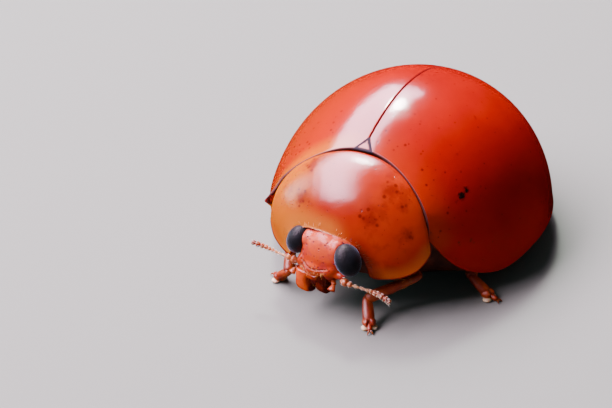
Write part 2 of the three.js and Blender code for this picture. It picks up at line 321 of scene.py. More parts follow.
def set_camera():
    turn, rise = VIEW["round"], VIEW["up"]
    toward = Vector((sin(turn) * cos(rise), -cos(turn) * cos(rise), sin(rise)))
    level = Vector((cos(turn), sin(turn), 0))
    lean = Matrix.Rotation(VIEW["lean"], 3, toward)
    right = lean @ level
    up = lean @ toward.cross(level)
    place = SUBJECT + toward * VIEW["distance"]
    target = SUBJECT + right * FRAMING[0] + up * FRAMING[1]
    back = (place - target).normalized()
    right = up.cross(back).normalized()
    axes = Matrix((right, back.cross(right), back)).transposed().to_4x4()
    bpy.ops.object.camera_add()
    camera = bpy.context.object
    camera.matrix_world = Matrix.Translation(place * MM) @ axes
    camera.data.lens = LENS_MM
    camera.data.clip_start, camera.data.clip_end = CLIP
    bpy.context.scene.camera = camera
    print("the lens is", round((place - target).length, 1), "mm from what it looks at")


set_camera()

# %% [markdown]
# ## Finishes
# A beetle's cuticle is a hard clear varnish over coloured, slightly see-through horn. So its shader is
# glossy, and light wanders under its surface. Colour drifts slowly over a plate, and pits as fine as
# pinpricks stand in it. This class holds the nodes of one finish. All patterns use the piece's own
# coordinates, in millimetres.

# %% Nodes
class Nodes:
    """The nodes of a new material, its shader's inputs and the piece's coordinates in millimetres."""

    def __init__(self, name, **numbers):
        self.material = bpy.data.materials.new(name)
        self.material.use_nodes = True
        self.tree = self.material.node_tree
        self.shader = self.tree.nodes["Principled BSDF"].inputs
        for label, value in numbers.items():
            self.shader[label.replace("_", " ")].default_value = value
        place = self.add("TexCoord").outputs["Object"]
        self.mm = self.add("Mapping", {"Vector": place, "Scale": (1 / MM,) * 3}).outputs["Vector"]

    def feed(self, socket, value):
        """Gives an input a number, a colour or the output of another node."""
        if isinstance(value, bpy.types.NodeSocket):
            self.tree.links.new(value, socket)
        else:
            socket.default_value = value

    def add(self, kind, inputs=None, **settings):
        """Adds a node, sets its properties and feeds its inputs."""
        made = self.tree.nodes.new("ShaderNode" + kind)
        for name, value in settings.items():
            setattr(made, name, value)
        for name, value in (inputs or {}).items():
            self.feed(made.inputs[name], value)
        return made


# %% [markdown]
# A mask says where a layer of paint lies. It comes from noise, from a number that the mesh carries, from
# the place along an axis, or from dots that are scattered one to a cell. A ramp turns any of them into a
# mask: it stretches a part of the range and softens its ends.

# %% Masks
class Masks(Nodes):
    """Numbers from nothing to one that say where a layer lies."""

    def noise(self, scale, detail):
        inputs = {"Vector": self.mm, "Scale": scale, "Detail": detail}
        return self.add("TexNoise", inputs).outputs["Fac"]

    def carried(self, name):
        """The number that the mesh carries under a name."""
        return self.add("Attribute", attribute_name=name).outputs["Fac"]

    def along(self, axis):
        return self.add("SeparateXYZ", {"Vector": self.mm}).outputs[axis]

    def maths(self, operation, *values):
        return self.add("Math", dict(enumerate(values)), operation=operation).outputs["Value"]

    def times(self, first, second):
        return self.maths("MULTIPLY", first, second)

    def ramp(self, value, low, high, to_low=0.0, to_high=1.0):
        numbers = {"Value": value, "From Min": low, "From Max": high, "To Min": to_low, "To Max": to_high}
        return self.add("MapRange", numbers, interpolation_type="SMOOTHSTEP").outputs["Result"]

    def pits(self, cell, size, share):
        """Dots of a size in millimetres, one to a cell, of which only a share is there."""
        cells = self.add("TexVoronoi", {"Vector": self.mm, "Scale": 1 / cell}).outputs
        dot = self.ramp(cells["Distance"], size / cell, 0.4 * size / cell)
        tint = self.add("SeparateColor", {"Color": cells["Color"]}).outputs["Red"]
        return self.times(dot, self.maths("LESS_THAN", tint, share))

    def fleck(self, place, size, soft, grain):
        """A ragged dot round one place."""
        near = self.add("VectorMath", {0: self.mm, 1: place}, operation="DISTANCE").outputs["Value"]
        ragged = self.maths("ADD", near, self.times(self.noise(grain, 3), size * 1.2))
        return self.ramp(ragged, size * 1.6, size * (1.6 - soft))


# %% [markdown]
# A finish starts with a ground of two near colours that drift into each other. Each layer of paint covers
# what is below it where its mask is high. Bumps are stacked in the same way, and each starts from the
# surface that the last one left.

# %% Layers of paint and bumps
class Finish(Masks):
    """A material that is painted and bumped in layers."""

    normal = None

    def mix(self, share, first, second):
        made = self.add("Mix", data_type="RGBA")
        for index, value in ((0, share), (6, first), (7, second)):
            self.feed(made.inputs[index], value)
        return made.outputs[2]

    def ground(self, look):
        """A deep and a bright colour that drift: by a noise of a scale and detail, between two levels."""
        scale, detail, low, high = look["drift"]
        drift = self.ramp(self.noise(scale, detail), low, high)
        self.body = self.mix(drift, (*look["deep"], 1), (*look["bright"], 1))

    def paint(self, colour, mask, share=1):
        """Covers a share of what is below, where the mask is high."""
        if share < 1:
            mask = self.times(mask, share)
        self.body = self.mix(mask, self.body, (*colour, 1))

    def press(self, height, depth):
        """Adds bumps as deep as depth, in millimetres."""
        inputs = {"Height": height, "Distance": depth * MM, "Strength": 1}
        if self.normal:
            inputs["Normal"] = self.normal
        self.normal = self.add("Bump", inputs).outputs["Normal"]

    def grain(self, look):
        """Presses in one noise after the other: its scale, its detail and its depth in millimetres."""
        for scale, detail, depth in look["grain"]:
            self.press(self.noise(scale, detail), depth)

    def ready(self):
        """Joins the paint and the bumps to the shader."""
        self.feed(self.shader["Base Color"], self.body)
        self.feed(self.shader["Normal"], self.normal)
        print(self.material.name, "has", len(self.tree.nodes), "nodes")
        return self.material


# %% [markdown]
# The varnish is the same on every plate, so its numbers are written once. Light goes deeper in red than in
# green or blue, which is what makes the horn glow orange where it is thin.

# %% Shared numbers of the cuticle
CUTICLE = {
    "Roughness": 0.165,
    "IOR": 1.6,
    "Subsurface_Weight": 0.25,
    "Subsurface_Radius": (1, 0.3, 0.08),
    "Subsurface_Scale": 0.25 * MM,
}

# %% [markdown]
# ## Wing cases: the finish
# The wing cases are a clear red, more orange where the horn is thin at the shoulders. Their right side,
# which the wide lamp lights, is painted more orange as painted light, with a yellow band of painted light
# near its front edge. Very fine dark pits are scattered over them, coarser ones near the front. Along the
# seam and along the front edge the plate is pinched to a dark dull line; along the front edge it is partly
# a dark edge and partly painted shade of the gap before it. So the sheet will carry its distance from those
# edges, as "seam" and "base", for the paint to read.

# %% Wing case finish
WING_CASE = {
    "deep": (0.26, 0.0015, 0.0002),
    "bright": (0.32, 0.004, 0.0003),
    "drift": (0.55, 2, 0.35, 0.7),
    "grain": ((2.2, 2, 0.008), (26, 3, 0.0005)),
    # painted light: the right side, which the wide lamp lights, is painted more orange
    "painted_light_side": (0.29, 0.026, 0.0006),
    "front": (0.34, 0.024, 0.0006),
    "pit": (0.1, 0.002, 0.001),
    "fleck": (0.012, 0.004, 0.003),
    # painted light: a yellow glow near the front of the lit right side
    "band": (0.4, 0.095, 0.001),
    # partly painted shade: the dark front line is a dark edge and the shade of the gap before it
    "front_line": (0.05, 0.002, 0.0005),
    "seam": (0.09, 0.012, 0.022),
}
WING_ZONES = {  # where a mask begins and where it is full, in millimetres across or from an edge
    "painted_light_side": (-0.3, -2.8),
    "front": (1.0, 0.05),
    "coarse_pits": (1.9, 0.9),
    "band": (0.6, 0.12),
    "band_across": (0.1, -0.6),
    "front_line": (0.03, 0.005),
    "wider_line": (-0.8, -2.0, 0.025, 0.09),  # on the right the line is wider
    "seam": (0.02, 0.008),
}
WING_SHARES = {"front": 0.5, "pit": 0.85, "speck": 0.5, "band": 0.85, "dull": 0.8}
FINE_PITS, COARSE_PITS = (0.2, 0.028, 0.45), (0.19, 0.044, 0.6)  # cell, size and share
SPECKS, SPECK_LEVELS = (9, 5), (0.67, 0.72)
FLECKS = (((2.19, -1.28, 2.44), 0.125), ((2.26, -1.11, 2.53), 0.11))
FLECK_EDGE = (0.6, 16)  # how soft and how ragged
WING_DEPTHS = {"pit": 0.0008, "fleck": 0.003}


def wing_case_finish():
    red = Finish("wing_case_red", **CUTICLE)
    red.ground(WING_CASE)
    across, base = red.along("X"), red.carried("base")
    zone, share = WING_ZONES, WING_SHARES
    # painted light: the right side, which the wide lamp lights, is painted more orange
    red.paint(WING_CASE["painted_light_side"], red.ramp(across, *zone["painted_light_side"]))
    red.paint(WING_CASE["front"], red.ramp(base, *zone["front"]), share["front"])
    coarse = red.times(red.pits(*COARSE_PITS), red.ramp(base, *zone["coarse_pits"]))
    dots = red.maths("MAXIMUM", red.pits(*FINE_PITS), coarse)
    specks = red.times(red.ramp(red.noise(*SPECKS), *SPECK_LEVELS), share["speck"])
    red.paint(WING_CASE["pit"], red.maths("MAXIMUM", dots, specks), share["pit"])
    flecks = red.maths("MAXIMUM", *(red.fleck(*one, *FLECK_EDGE) for one in FLECKS))
    red.paint(WING_CASE["fleck"], flecks)
    # painted light: a yellow glow near the front of the lit right side
    band = red.times(red.ramp(base, *zone["band"]), red.ramp(across, *zone["band_across"]))
    red.paint(WING_CASE["band"], band, share["band"])
    # partly painted shade: the front line is a dark edge with the gap's shade painted in, widest at the
    # right shoulder
    line = red.maths("SUBTRACT", base, red.ramp(across, *zone["wider_line"]))
    line = red.ramp(line, *zone["front_line"])
    red.paint(WING_CASE["front_line"], line)
    seam = red.ramp(red.carried("seam"), *zone["seam"])
    red.paint(WING_CASE["seam"], seam)
    dull = red.times(red.maths("MAXIMUM", line, seam), share["dull"])
    red.feed(red.shader["Roughness"], red.maths("ADD", dull, CUTICLE["Roughness"]))
    red.grain(WING_CASE)
    red.press(red.times(dots, -1), WING_DEPTHS["pit"])
    red.press(flecks, WING_DEPTHS["fleck"])
    return red.ready()


WING_CASE_RED = wing_case_finish()

# %% [markdown]
# ## Wing cases: the sheet
# The two wing cases close to one dome. A sphere with its poles in front and behind is the right start: a
# quarter of it is one wing case, its rings run across the back, and its outer edge is the rim. What no
# tool gives is the sweep of the rim up to the shoulder and the bow of the front edge, so a formula puts
# each vertex on the real dome. It draws the rings together at the seam, rim and front, where the edges are
# rolled.

# %% The shape of the dome
wing_low, wing_high = box_mm("wing_case_left")
DOME_Y = 0.5  # the highest point of the dome
DOME_FRONT = 3.66  # its reach forward, had the neck not cut it off
DOME_BACK = wing_high.y - DOME_Y - 0.015
HALF_WIDTH = wing_high.x - 0.02
DOME_TOP = wing_high.z
BASE = {"y": -1.71, "bend": 0.79 / 2.09**2}  # the front edge is a parabola
RIM = {"low": wing_low.z, "rise": 3.6, "highest": 3.5}  # it sweeps up to the shoulder
DROP = {"least": 0.03, "most": 0.2, "y": -1.4, "spread": 1.1}  # how far the wall hangs below that sweep
TUCK = {"in": 0.2, "y": -1.7, "spread": 0.6}  # how far it leans in below the shoulder
WALL_HEIGHT = 0.75
ROUNDS = 40  # of closing in on a point that has no formula


def rim_sweep(y):
    return min(RIM["highest"], RIM["low"] + RIM["rise"] * max(0, (DOME_Y - y) / DOME_FRONT) ** 4)


def rim_drop(y):
    return DROP["least"] + DROP["most"] * bell(y, DROP["y"], DROP["spread"])


def rim_height(y):
    return rim_sweep(y) - rim_drop(y)


def base_y(x):
    return BASE["y"] - BASE["bend"] * x * x


def base_angle(lean):
    """How far round the dome the front edge is, on the line that leans this far from the rim."""
    x = HALF_WIDTH / 2
    for _ in range(ROUNDS):
        angle = acos((DOME_Y - base_y(x)) / DOME_FRONT)
        x = (x + HALF_WIDTH * sin(angle) * cos(lean)) / 2
    return angle


def on_dome(angle, lean, inset=0.0):
    """A point of the dome: the angle goes from front to back, the lean from the rim to the seam."""
    reach = DOME_FRONT if angle < pi / 2 else DOME_BACK
    y = DOME_Y - (reach - inset) * cos(angle)
    rim = rim_sweep(y)
    x = (HALF_WIDTH - inset) * sin(angle) * cos(lean)
    z = rim + (DOME_TOP - inset - rim) * sin(angle) * sin(lean)
    low = fade(z - rim, WALL_HEIGHT) ** 2
    tuck = TUCK["in"] * bell(y, TUCK["y"], TUCK["spread"])
    return Vector((x - tuck * low, y, z - rim_drop(y) * low))


print("dome half width", round(HALF_WIDTH, 2), "top", round(DOME_TOP, 2), "rim", round(RIM["low"], 2))

# %% [markdown]
# The sheet is cut from the sphere by deleting what isn't needed. Then it is laid on the dome, its rim is
# pulled in to the turned-under flange that a beetle has there, and it is given its thickness.

# %% Cut and lay the sheet
SHEET_START = radians(60)  # the ring of the sphere that becomes the front edge
SPHERE = {"segments": 128, "ring_count": 96}
SHEET_THICKNESS = 0.06
SEAM_GAP = 0.004
CROWDING = 0.82  # how strongly lines are drawn together at an edge


def crowd(share):
    """Draws evenly spaced shares together at both ends."""
    return share - CROWDING * sin(tau * share) / tau


def lay_on_dome(point):
    angle, lean = acos(max(-1, min(1, -point.y))), atan2(point.z, point.x)
    share = max(0, (angle - SHEET_START) / (pi - SHEET_START))
    share = share * (1 - CROWDING + CROWDING * share)
    lean = pi / 2 * crowd(max(0, lean) / (pi / 2))
    start = base_angle(lean)
    return on_dome(start + (pi - start) * share, lean) + Vector((SEAM_GAP, 0, 0)) * sin(lean)


def wing_case_sheet():
    bpy.ops.mesh.primitive_uv_sphere_add(**SPHERE, radius=1, rotation=(pi / 2, 0, 0))
    piece = called("wing_sheet_left")
    apply_place(piece)
    with editing(piece):
        front = -cos(SHEET_START)
        pick(piece, lambda p: p.z < -1e-4 or p.x < -1e-4 or p.y < front - 1e-3, "VERT")
        bpy.ops.mesh.delete(type="VERT")
    reshape(piece, lay_on_dome)
    return piece


# %% [markdown]
# Distances to the edges are measured while the sheet still lies flat on the dome.

# %% Measure distances to an edge
LINE_STEPS = 16  # points added between two points of a line
EDGE_STEPS = {"base": 60, "seam": 120}


def keep_distance(piece, name, line):
    """Marks how far each vertex is from a line of points, in millimetres."""
    points = [a.lerp(b, step / LINE_STEPS) for a, b in zip(line, line[1:]) for step in range(LINE_STEPS + 1)]
    tree = KDTree(len(points))
    for index, point in enumerate(points):
        tree.insert(point, index)
    tree.balance()
    mark(piece, name, lambda place: tree.find(place)[2])


def front_edge():
    leans = [pi / 2 * step / EDGE_STEPS["base"] for step in range(EDGE_STEPS["base"] + 1)]
    return [on_dome(base_angle(lean), lean) for lean in leans]


def seam_edge():
    start = base_angle(pi / 2)
    shares = [step / EDGE_STEPS["seam"] for step in range(EDGE_STEPS["seam"] + 1)]
    return [on_dome(start + (pi - start) * share, pi / 2) for share in shares]


print("the rim meets the front edge at", [round(c, 2) for c in front_edge()[0]])

# %% [markdown]
# The rolled edges: within a hair's breadth of the seam and of the front edge the sheet turns down, and just
# above the rim it swells to a fine bead. The front corner of the right rim is drawn out to a small point.

# %% Roll the edges
ROLL = {"width": 0.06, "base": 0.03, "seam": 0.008}
BEAD = {"height": 0.13, "out": 0.02}
SHOULDER = {"reach": 0.5, "out": 0.33, "down": 0.02}


def roll_edges(piece):
    base, seam = (piece.data.attributes[name].data for name in ("base", "seam"))
    normals = [vertex.normal.copy() for vertex in piece.data.vertices]  # taken before any vertex moves
    for index, vertex in enumerate(piece.data.vertices):
        near_base = fade(base[index].value, ROLL["width"]) ** 2
        near_seam = fade(seam[index].value, ROLL["width"]) ** 2
        vertex.co -= normals[index] * (ROLL["base"] * near_base + ROLL["seam"] * near_seam)
        above = (vertex.co.z - rim_height(vertex.co.y)) / BEAD["height"]
        if above < 1:
            outward = Vector((vertex.co.x, vertex.co.y - DOME_Y, 0)).normalized()
            vertex.co += outward * BEAD["out"] * (1 - max(0, above)) ** 2


def draw_shoulder(piece):
    corner = on_dome(base_angle(0), 0)
    corner.x = -corner.x
    pull = Vector((-SHOULDER["out"], 0, -SHOULDER["down"]))
    reshape(piece, lambda p: p + pull * fade((p - corner).length, SHOULDER["reach"]) ** 2)


# %% [markdown]
# The rim is extruded inward in two steps, to make the flange that grips the body. The left wing case is
# modelled, and the right one is its mirror image.

# %% Both wing cases
NEAR_RIM, CLEAR_OF_BASE = 0.004, 0.02  # which edges are the rim's
FLANGE_STEPS = ((0.975, -0.035), (0.9, 0.03))  # the size that the rim shrinks to, and its move upwards


def turn_under(piece):
    with editing(piece):
        low = lambda p: p.z < rim_height(p.y) + NEAR_RIM
        pick(piece, lambda p: low(p) and p.y > base_y(p.x) + CLEAR_OF_BASE, "EDGE")
        for inward, lift in FLANGE_STEPS:
            bpy.ops.mesh.extrude_region_move(TRANSFORM_OT_translate={"value": (0, 0, lift)})
            bpy.ops.transform.resize(value=(inward, inward, 1), center_override=(0, DOME_Y, 0))


def wing_cases():
    left = wing_case_sheet()
    weld(left, 1e-5)
    keep_distance(left, "base", front_edge())
    keep_distance(left, "seam", seam_edge())
    roll_edges(left)
    turn_under(left)
    modify(left, "SOLIDIFY", thickness=SHEET_THICKNESS, offset=-1)
    smooth(left)
    only(left)
    bpy.ops.object.duplicate()
    right = called("wing_sheet_right")
    right.scale.x = -1
    apply_place(right)
    turn_inside_out(right)
    draw_shoulder(right)
    done(left, WING_CASE_RED, "wing_case", "wing_case_left")
    done(right, WING_CASE_RED, "wing_case", "wing_case_right")


wing_cases()

# %% [markdown]
# ## Pronotum: the finish
# The shield over the neck is orange, with soft brown blotches to both sides of a plain middle, and its
# right side, which the wide lamp lights, is painted lighter as painted light. Its side margins are so thin
# that they glow yellow, and end in a hair-thin dark rim. Over the head the margin has a pale hairline, a
# yellow glow of painted light on the lit right and brown painted shade on the shaded left. The sheet will
# carry its distance from the sides, from the arch over the head and from the whole rim, as "side", "brow"
# and "rim".

# %% Pronotum finish
PRONOTUM = {
    "deep": (0.3, 0.01, 0.0004),
    "bright": (0.37, 0.026, 0.0008),
    "drift": (0.9, 2, 0.3, 0.7),
    "grain": ((3, 2, 0.009), (42, 3, 0.0024)),
    "painted_light_side": (0.42, 0.11, 0.0015),
    "blotch": (0.17, 0.006, 0.0005),
    "bead": (0.1, 0.004, 0.001),
    "pit": (0.12, 0.004, 0.001),
    "margin": (0.42, 0.085, 0.004),
    "rim": (0.12, 0.004, 0.001),
}
BROW_LAYERS = (  # a colour, its distances from the arch, its places across, and its share
    # painted light: a yellow glow on the lit right side of the arch
    ((0.5, 0.17, 0.015), (0.55, 0.1), (0.5, -0.1), 0.7),
    ((0.6, 0.2, 0.04), (0.07, 0.03), (0.7, 0.2), 0.7),
    # painted shade: brown on the shaded left side of the arch, beside the left eye
    ((0.2, 0.008, 0.001), (0.4, 0.08), (0.35, 0.7), 0.75),
)
SHIELD_GLOSS = {"Roughness": 0.2, "Subsurface_Weight": 0.4, "Subsurface_Scale": 0.3 * MM}
SHIELD_ZONES = {  # as on the wing cases
    "painted_light_side": (-0.2, -1.5),
    "cloud_in": (0.3, 0.75),
    "cloud_out": (2, 1.3),
    "bead": (0, 0.4),
    "margin": (0.4, 0.05),
    "rim": (0.03, 0.012),
    "wider_rim": (-0.6, -1.6, 0, 0.025),
}
SHIELD_SHARES = {"spot": 0.8, "cloud": 0.5, "fine_cloud": 0.16, "bead": 0.75, "pit": 0.75, "margin": 0.7}
SHIELD_MIDDLE, BROW_RIM = 0.1, 1.6  # the middle between the clouds, and how much finer the rim is there
CLOUDS, FINE_CLOUDS, CLOUD_LEVELS = (2.6, 3), (14, 3), (0.56, 0.74)
BEADS, SHIELD_PITS, SHIELD_PIT_DEPTH = (0.13, 0.058, 0.8), (0.11, 0.021, 0.5), 0.0025
BLOTCH_EDGE = (0.9, 7)
BLOTCHES = (
    ((-0.95, -2.27, 3.05), 0.33),
    ((-0.93, -2.87, 2.53), 0.29),
    ((1.06, -2.45, 2.9), 0.33),
    ((1.38, -2.54, 2.64), 0.2),
    ((0.8, -2.95, 2.45), 0.36),
    ((1.6, -2.75, 2.1), 0.22),
)


def pronotum_finish():
    orange = Finish("pronotum_orange", **{**CUTICLE, **SHIELD_GLOSS})
    orange.ground(PRONOTUM)
    across, brow = orange.along("X"), orange.carried("brow")
    zone, share = SHIELD_ZONES, SHIELD_SHARES
    # painted light: the right side, which the wide lamp lights, is painted lighter
    orange.paint(PRONOTUM["painted_light_side"], orange.ramp(across, *zone["painted_light_side"]))
    spots = 0
    for blotch in BLOTCHES:
        spots = orange.maths("MAXIMUM", spots, orange.fleck(*blotch, *BLOTCH_EDGE))
    sideways = orange.maths("ABSOLUTE", orange.maths("SUBTRACT", across, SHIELD_MIDDLE))
    sides = orange.times(orange.ramp(sideways, *zone["cloud_in"]), orange.ramp(sideways, *zone["cloud_out"]))
    fine = orange.times(orange.noise(*FINE_CLOUDS), share["fine_cloud"])
    clouds = orange.ramp(orange.maths("ADD", orange.noise(*CLOUDS), fine), *CLOUD_LEVELS)
    clouds = orange.times(orange.times(sides, clouds), share["cloud"])
    orange.paint(PRONOTUM["blotch"], orange.maths("MAXIMUM", clouds, orange.times(spots, share["spot"])))
    beads = orange.times(orange.pits(*BEADS), orange.ramp(spots, *zone["bead"]))
    orange.paint(PRONOTUM["bead"], beads, share["bead"])
    dots = orange.pits(*SHIELD_PITS)
    orange.paint(PRONOTUM["pit"], dots, share["pit"])
    orange.paint(PRONOTUM["margin"], orange.ramp(orange.carried("side"), *zone["margin"]), share["margin"])
    # over the arch: painted light on the right, a pale hairline, and painted shade on the left
    for tint, distances, places, cover in BROW_LAYERS:
        orange.paint(tint, orange.times(orange.ramp(brow, *distances), orange.ramp(across, *places)), cover)
    edge = orange.maths("MINIMUM", orange.carried("rim"), orange.times(brow, BROW_RIM))
    edge = orange.maths("SUBTRACT", edge, orange.ramp(across, *zone["wider_rim"]))
    orange.paint(PRONOTUM["rim"], orange.ramp(edge, *zone["rim"]))
    orange.grain(PRONOTUM)
    orange.press(orange.times(dots, -1), SHIELD_PIT_DEPTH)
    return orange.ready()


PRONOTUM_ORANGE = pronotum_finish()

# %% [markdown]
# ## Pronotum: its outline
# The shield is a piece of an egg-shaped shell. Its outline is drawn first: from one hind corner along the
# side margin, down to the cheek, up and over the head in an arch, and back the same way on the other side.
# The head is turned, so the arch sits a little to the beetle's right.

# %% Outline of the pronotum
shield_low, shield_high = box_mm("pronotum")
SHIELD = Vector((0, -1.85, 1.55))  # the middle of the egg
SHIELD_REACH = Vector((2.24, 1.45, shield_high.z - SHIELD.z))
HIND_GAP = 0.02  # between the shield and the wing cases
CHEEK = {"y": -3.0, "z": shield_low.z}
HIND = {"y": -2.42, "z": 1.7}
ARCH = {"x": -0.17, "half_width": 1.0, "foot": 0.88, "top": 2.04, "power": 2.9}
ARCH_TILT = {"by": 0.09, "from_x": -0.8}  # it is lower on the left
CORNER_STEP, CORNER_END = 0.005, 2.2  # the steps of the search for a hind corner, and where it gives up


def on_shield(x, z):
    """The point of the front of the egg at this width and height."""
    squared = 1 - (x / SHIELD_REACH.x) ** 2 - ((z - SHIELD.z) / SHIELD_REACH.z) ** 2
    return Vector((x, SHIELD.y - SHIELD_REACH.y * sqrt(max(0, squared)), z))


def margin_height(y):
    share = clamp((y - CHEEK["y"]) / (HIND["y"] - CHEEK["y"]))
    return CHEEK["z"] + (HIND["z"] - CHEEK["z"]) * share**2


def margin_point(x):
    """Where the side margin crosses this width: its height and its place are found by turns."""
    z = CHEEK["z"]
    for _ in range(ROUNDS):
        z = (z + margin_height(on_shield(x, z).y)) / 2
    return on_shield(x, z)


def arch_point(share):
    """The arch over the head, for a share from -1 on the right to 1 on the left."""
    turn = pi / 2 * (1 - share)
    across = abs(cos(turn)) ** (2 / ARCH["power"]) * (1 if share > 0 else -1)
    rise = sin(turn) ** (2 / ARCH["power"])
    x = ARCH["x"] + ARCH["half_width"] * across
    top = ARCH["top"] - ARCH_TILT["by"] * (x - ARCH_TILT["from_x"])
    return on_shield(x, ARCH["foot"] + (top - ARCH["foot"]) * rise)


def hind_corner_x():
    x = 1.0
    while margin_point(x).y < base_y(x) - HIND_GAP and x < CORNER_END:
        x += CORNER_STEP
    return x


CORNER_X = hind_corner_x()
print("the shield's hind corners are at", round(CORNER_X, 2))

# %% [markdown]
# A polyline of those stretches is spaced out evenly, and its corners are softened by averaging each point
# with its neighbours a few times.

# %% Space out and soften the outline
OUTLINE_POINTS = 145
SOFTENING = 6
STRETCH_STEPS = 40  # the points of one side margin, or of half the arch
HIND_ZONE = 0.1  # points this near to the hind edge stay where the averaging put them


def evenly(line, count):
    """The same line as evenly spaced points."""
    steps = [(b - a).length for a, b in zip(line, line[1:])]
    spaced, at, walked = [], 0, 0
    for index in range(count):
        wanted = sum(steps) * index / (count - 1)
        while at < len(steps) - 1 and walked + steps[at] < wanted:
            walked += steps[at]
            at += 1
        spaced.append(line[at].lerp(line[at + 1], (wanted - walked) / steps[at]))
    return spaced


def softened(line, times):
    for _ in range(times):
        middle = [(a + 2 * b + c) / 4 for a, b, c in zip(line, line[1:], line[2:])]
        line = [line[0], *middle, line[-1]]
    return line


def margin(start, end, steps):
    return [margin_point(start + (end - start) * step / STRETCH_STEPS) for step in steps]


def shield_front():
    arch = [arch_point(step / STRETCH_STEPS) for step in range(-STRETCH_STEPS, STRETCH_STEPS + 1)]
    arch = [point for point in arch if point.z > CHEEK["z"]]
    rights = margin(-CORNER_X, arch[0].x, range(STRETCH_STEPS))
    lefts = margin(arch[-1].x, CORNER_X, range(1, STRETCH_STEPS + 1))
    line = softened(evenly(rights + arch + lefts, OUTLINE_POINTS), SOFTENING)
    return [on_shield(p.x, p.z) if p.y < base_y(p.x) - HIND_ZONE else p for p in line]


front_line = shield_front()
print("the outline has", len(front_line), "points")

# %% [markdown]
# ## Pronotum: the sheet
# A flat grid is laid over the egg, one side of it on the hind edge and the other on the outline. Between
# the two, each row follows the curve of the egg.

# %% Lay the shield
def egg(point):
    """A point pushed out, or drawn in, to the surface of the egg."""
    ball = Vector((p - c) / r for p, c, r in zip(point, SHIELD, SHIELD_REACH)).normalized()
    return Vector(c + b * r for c, b, r in zip(SHIELD, ball, SHIELD_REACH))


def hind_point(x):
    y = base_y(x) - HIND_GAP
    squared = 1 - (x / SHIELD_REACH.x) ** 2 - ((y - SHIELD.y) / SHIELD_REACH.y) ** 2
    return Vector((x, y, SHIELD.z + SHIELD_REACH.z * sqrt(max(0, squared))))


hind_line = [hind_point(CORNER_X * (2 * i / (OUTLINE_POINTS - 1) - 1)) for i in range(OUTLINE_POINTS)]
hind_line = evenly(hind_line, OUTLINE_POINTS)
hind_line[0], hind_line[-1] = front_line[0], front_line[-1]


def lay_on_shield(point):
    column = round((point.x + 1) / 2 * (OUTLINE_POINTS - 1))
    share = crowd((point.y + 1) / 2)
    return egg(hind_line[column].lerp(front_line[column], share))


# %% [markdown]
# The side margins are flared a little, and fade out towards the hind corners. The hind edge rolls down,
# deeper on the right, and the arch has a low lip. Then the sheet gets its thickness.

# %% Flare and thicken the shield
FLARE = {"width": 0.28, "out": 0.05, "clear_of_hind": 0.5}
LIP = {"width": 0.07, "out": 0.02}
HIND_ROLL = {"width": 0.13, "left": 0.03, "more_right": 0.08, "right_from": 0.3}
CORNER_FADE = {"least": 0.4, "reach": 0.7}  # the roll runs out towards the hind corners
SHIELD_ROWS, SHIELD_THICKNESS = 40, 0.05
ARCH_FOOT = CHEEK["z"] + 0.1  # above this the outline is the arch


def flare(piece):
    side, hind, arch = (piece.data.attributes[name].data for name in ("side", "hind", "brow"))
    normals = [vertex.normal.copy() for vertex in piece.data.vertices]  # taken before any vertex moves
    for index, vertex in enumerate(piece.data.vertices):
        aside, behind = side[index].value, hind[index].value
        out = fade(aside, FLARE["width"]) ** 2 * FLARE["out"] * min(1, behind / FLARE["clear_of_hind"])
        lip = fade(arch[index].value, LIP["width"]) ** 2 * LIP["out"]
        deep = HIND_ROLL["left"] + HIND_ROLL["more_right"] * clamp(-vertex.co.x - HIND_ROLL["right_from"])
        deep *= min(1, CORNER_FADE["least"] + aside / CORNER_FADE["reach"])
        roll = fade(behind, HIND_ROLL["width"]) ** 2 * deep
        vertex.co += normals[index] * (out + lip - roll)


def pronotum():
    bpy.ops.mesh.primitive_grid_add(x_subdivisions=OUTLINE_POINTS - 1, y_subdivisions=SHIELD_ROWS, size=2)
    piece = called("pronotum_shield")
    reshape(piece, lay_on_shield)
    weld(piece, outward=False)
    if sum(v.normal.dot(v.co - SHIELD) for v in piece.data.vertices) < 0:
        turn_inside_out(piece)
    arch = [p for p in front_line if abs(p.x - ARCH["x"]) < ARCH["half_width"] and p.z > ARCH_FOOT]
    sides = [p for p in front_line if p not in arch]
    for name, line in (("side", sides), ("brow", arch), ("hind", hind_line), ("rim", sides + hind_line)):
        keep_distance(piece, name, line)
    flare(piece)
    modify(piece, "SOLIDIFY", thickness=SHIELD_THICKNESS, offset=-1)
    smooth(piece)
    done(piece, PRONOTUM_ORANGE, "pronotum", "pronotum")


pronotum()

# %% [markdown]
# ## Scutellum
# A tiny triangle of plate, no longer than half a millimetre, closes the gap where the two wing cases and
# the shield meet. A square grid gives it: the grid's front side becomes the triangle's base, the far side
# shrinks to its tip, and the grid is laid along the slope of the dome. Its rim is dark and dull.

# %% Scutellum
SCUTELLUM = {
    "deep": (0.3, 0.035, 0.03),
    "bright": (0.4, 0.065, 0.06),
    "drift": (6, 3, 0.35, 0.65),
    "grain": ((30, 3, 0.003),),
    "rim": (0.012, 0.004, 0.012),
}
TRIANGLE_RIM = (0.085, 0.05)
ROUGH = {"middle": 0.42, "rim": 0.55}  # the roughness of the middle, and what the rim adds
TRIANGLE = {"room": 0.02, "tip": 0.04, "lift": 0.008, "thickness": 0.04, "cells": 16, "side_steps": 20}


def scutellum_finish():
    rose = Finish("scutellum_rose", **{**CUTICLE, "Roughness": ROUGH["middle"]})
    rose.ground(SCUTELLUM)
    edge = rose.ramp(rose.carried("rim"), *TRIANGLE_RIM)
    rose.paint(SCUTELLUM["rim"], edge)
    rough = rose.maths("ADD", rose.times(edge, ROUGH["rim"]), ROUGH["middle"])
    rose.feed(rose.shader["Roughness"], rough)
    rose.grain(SCUTELLUM)
    return rose.ready()


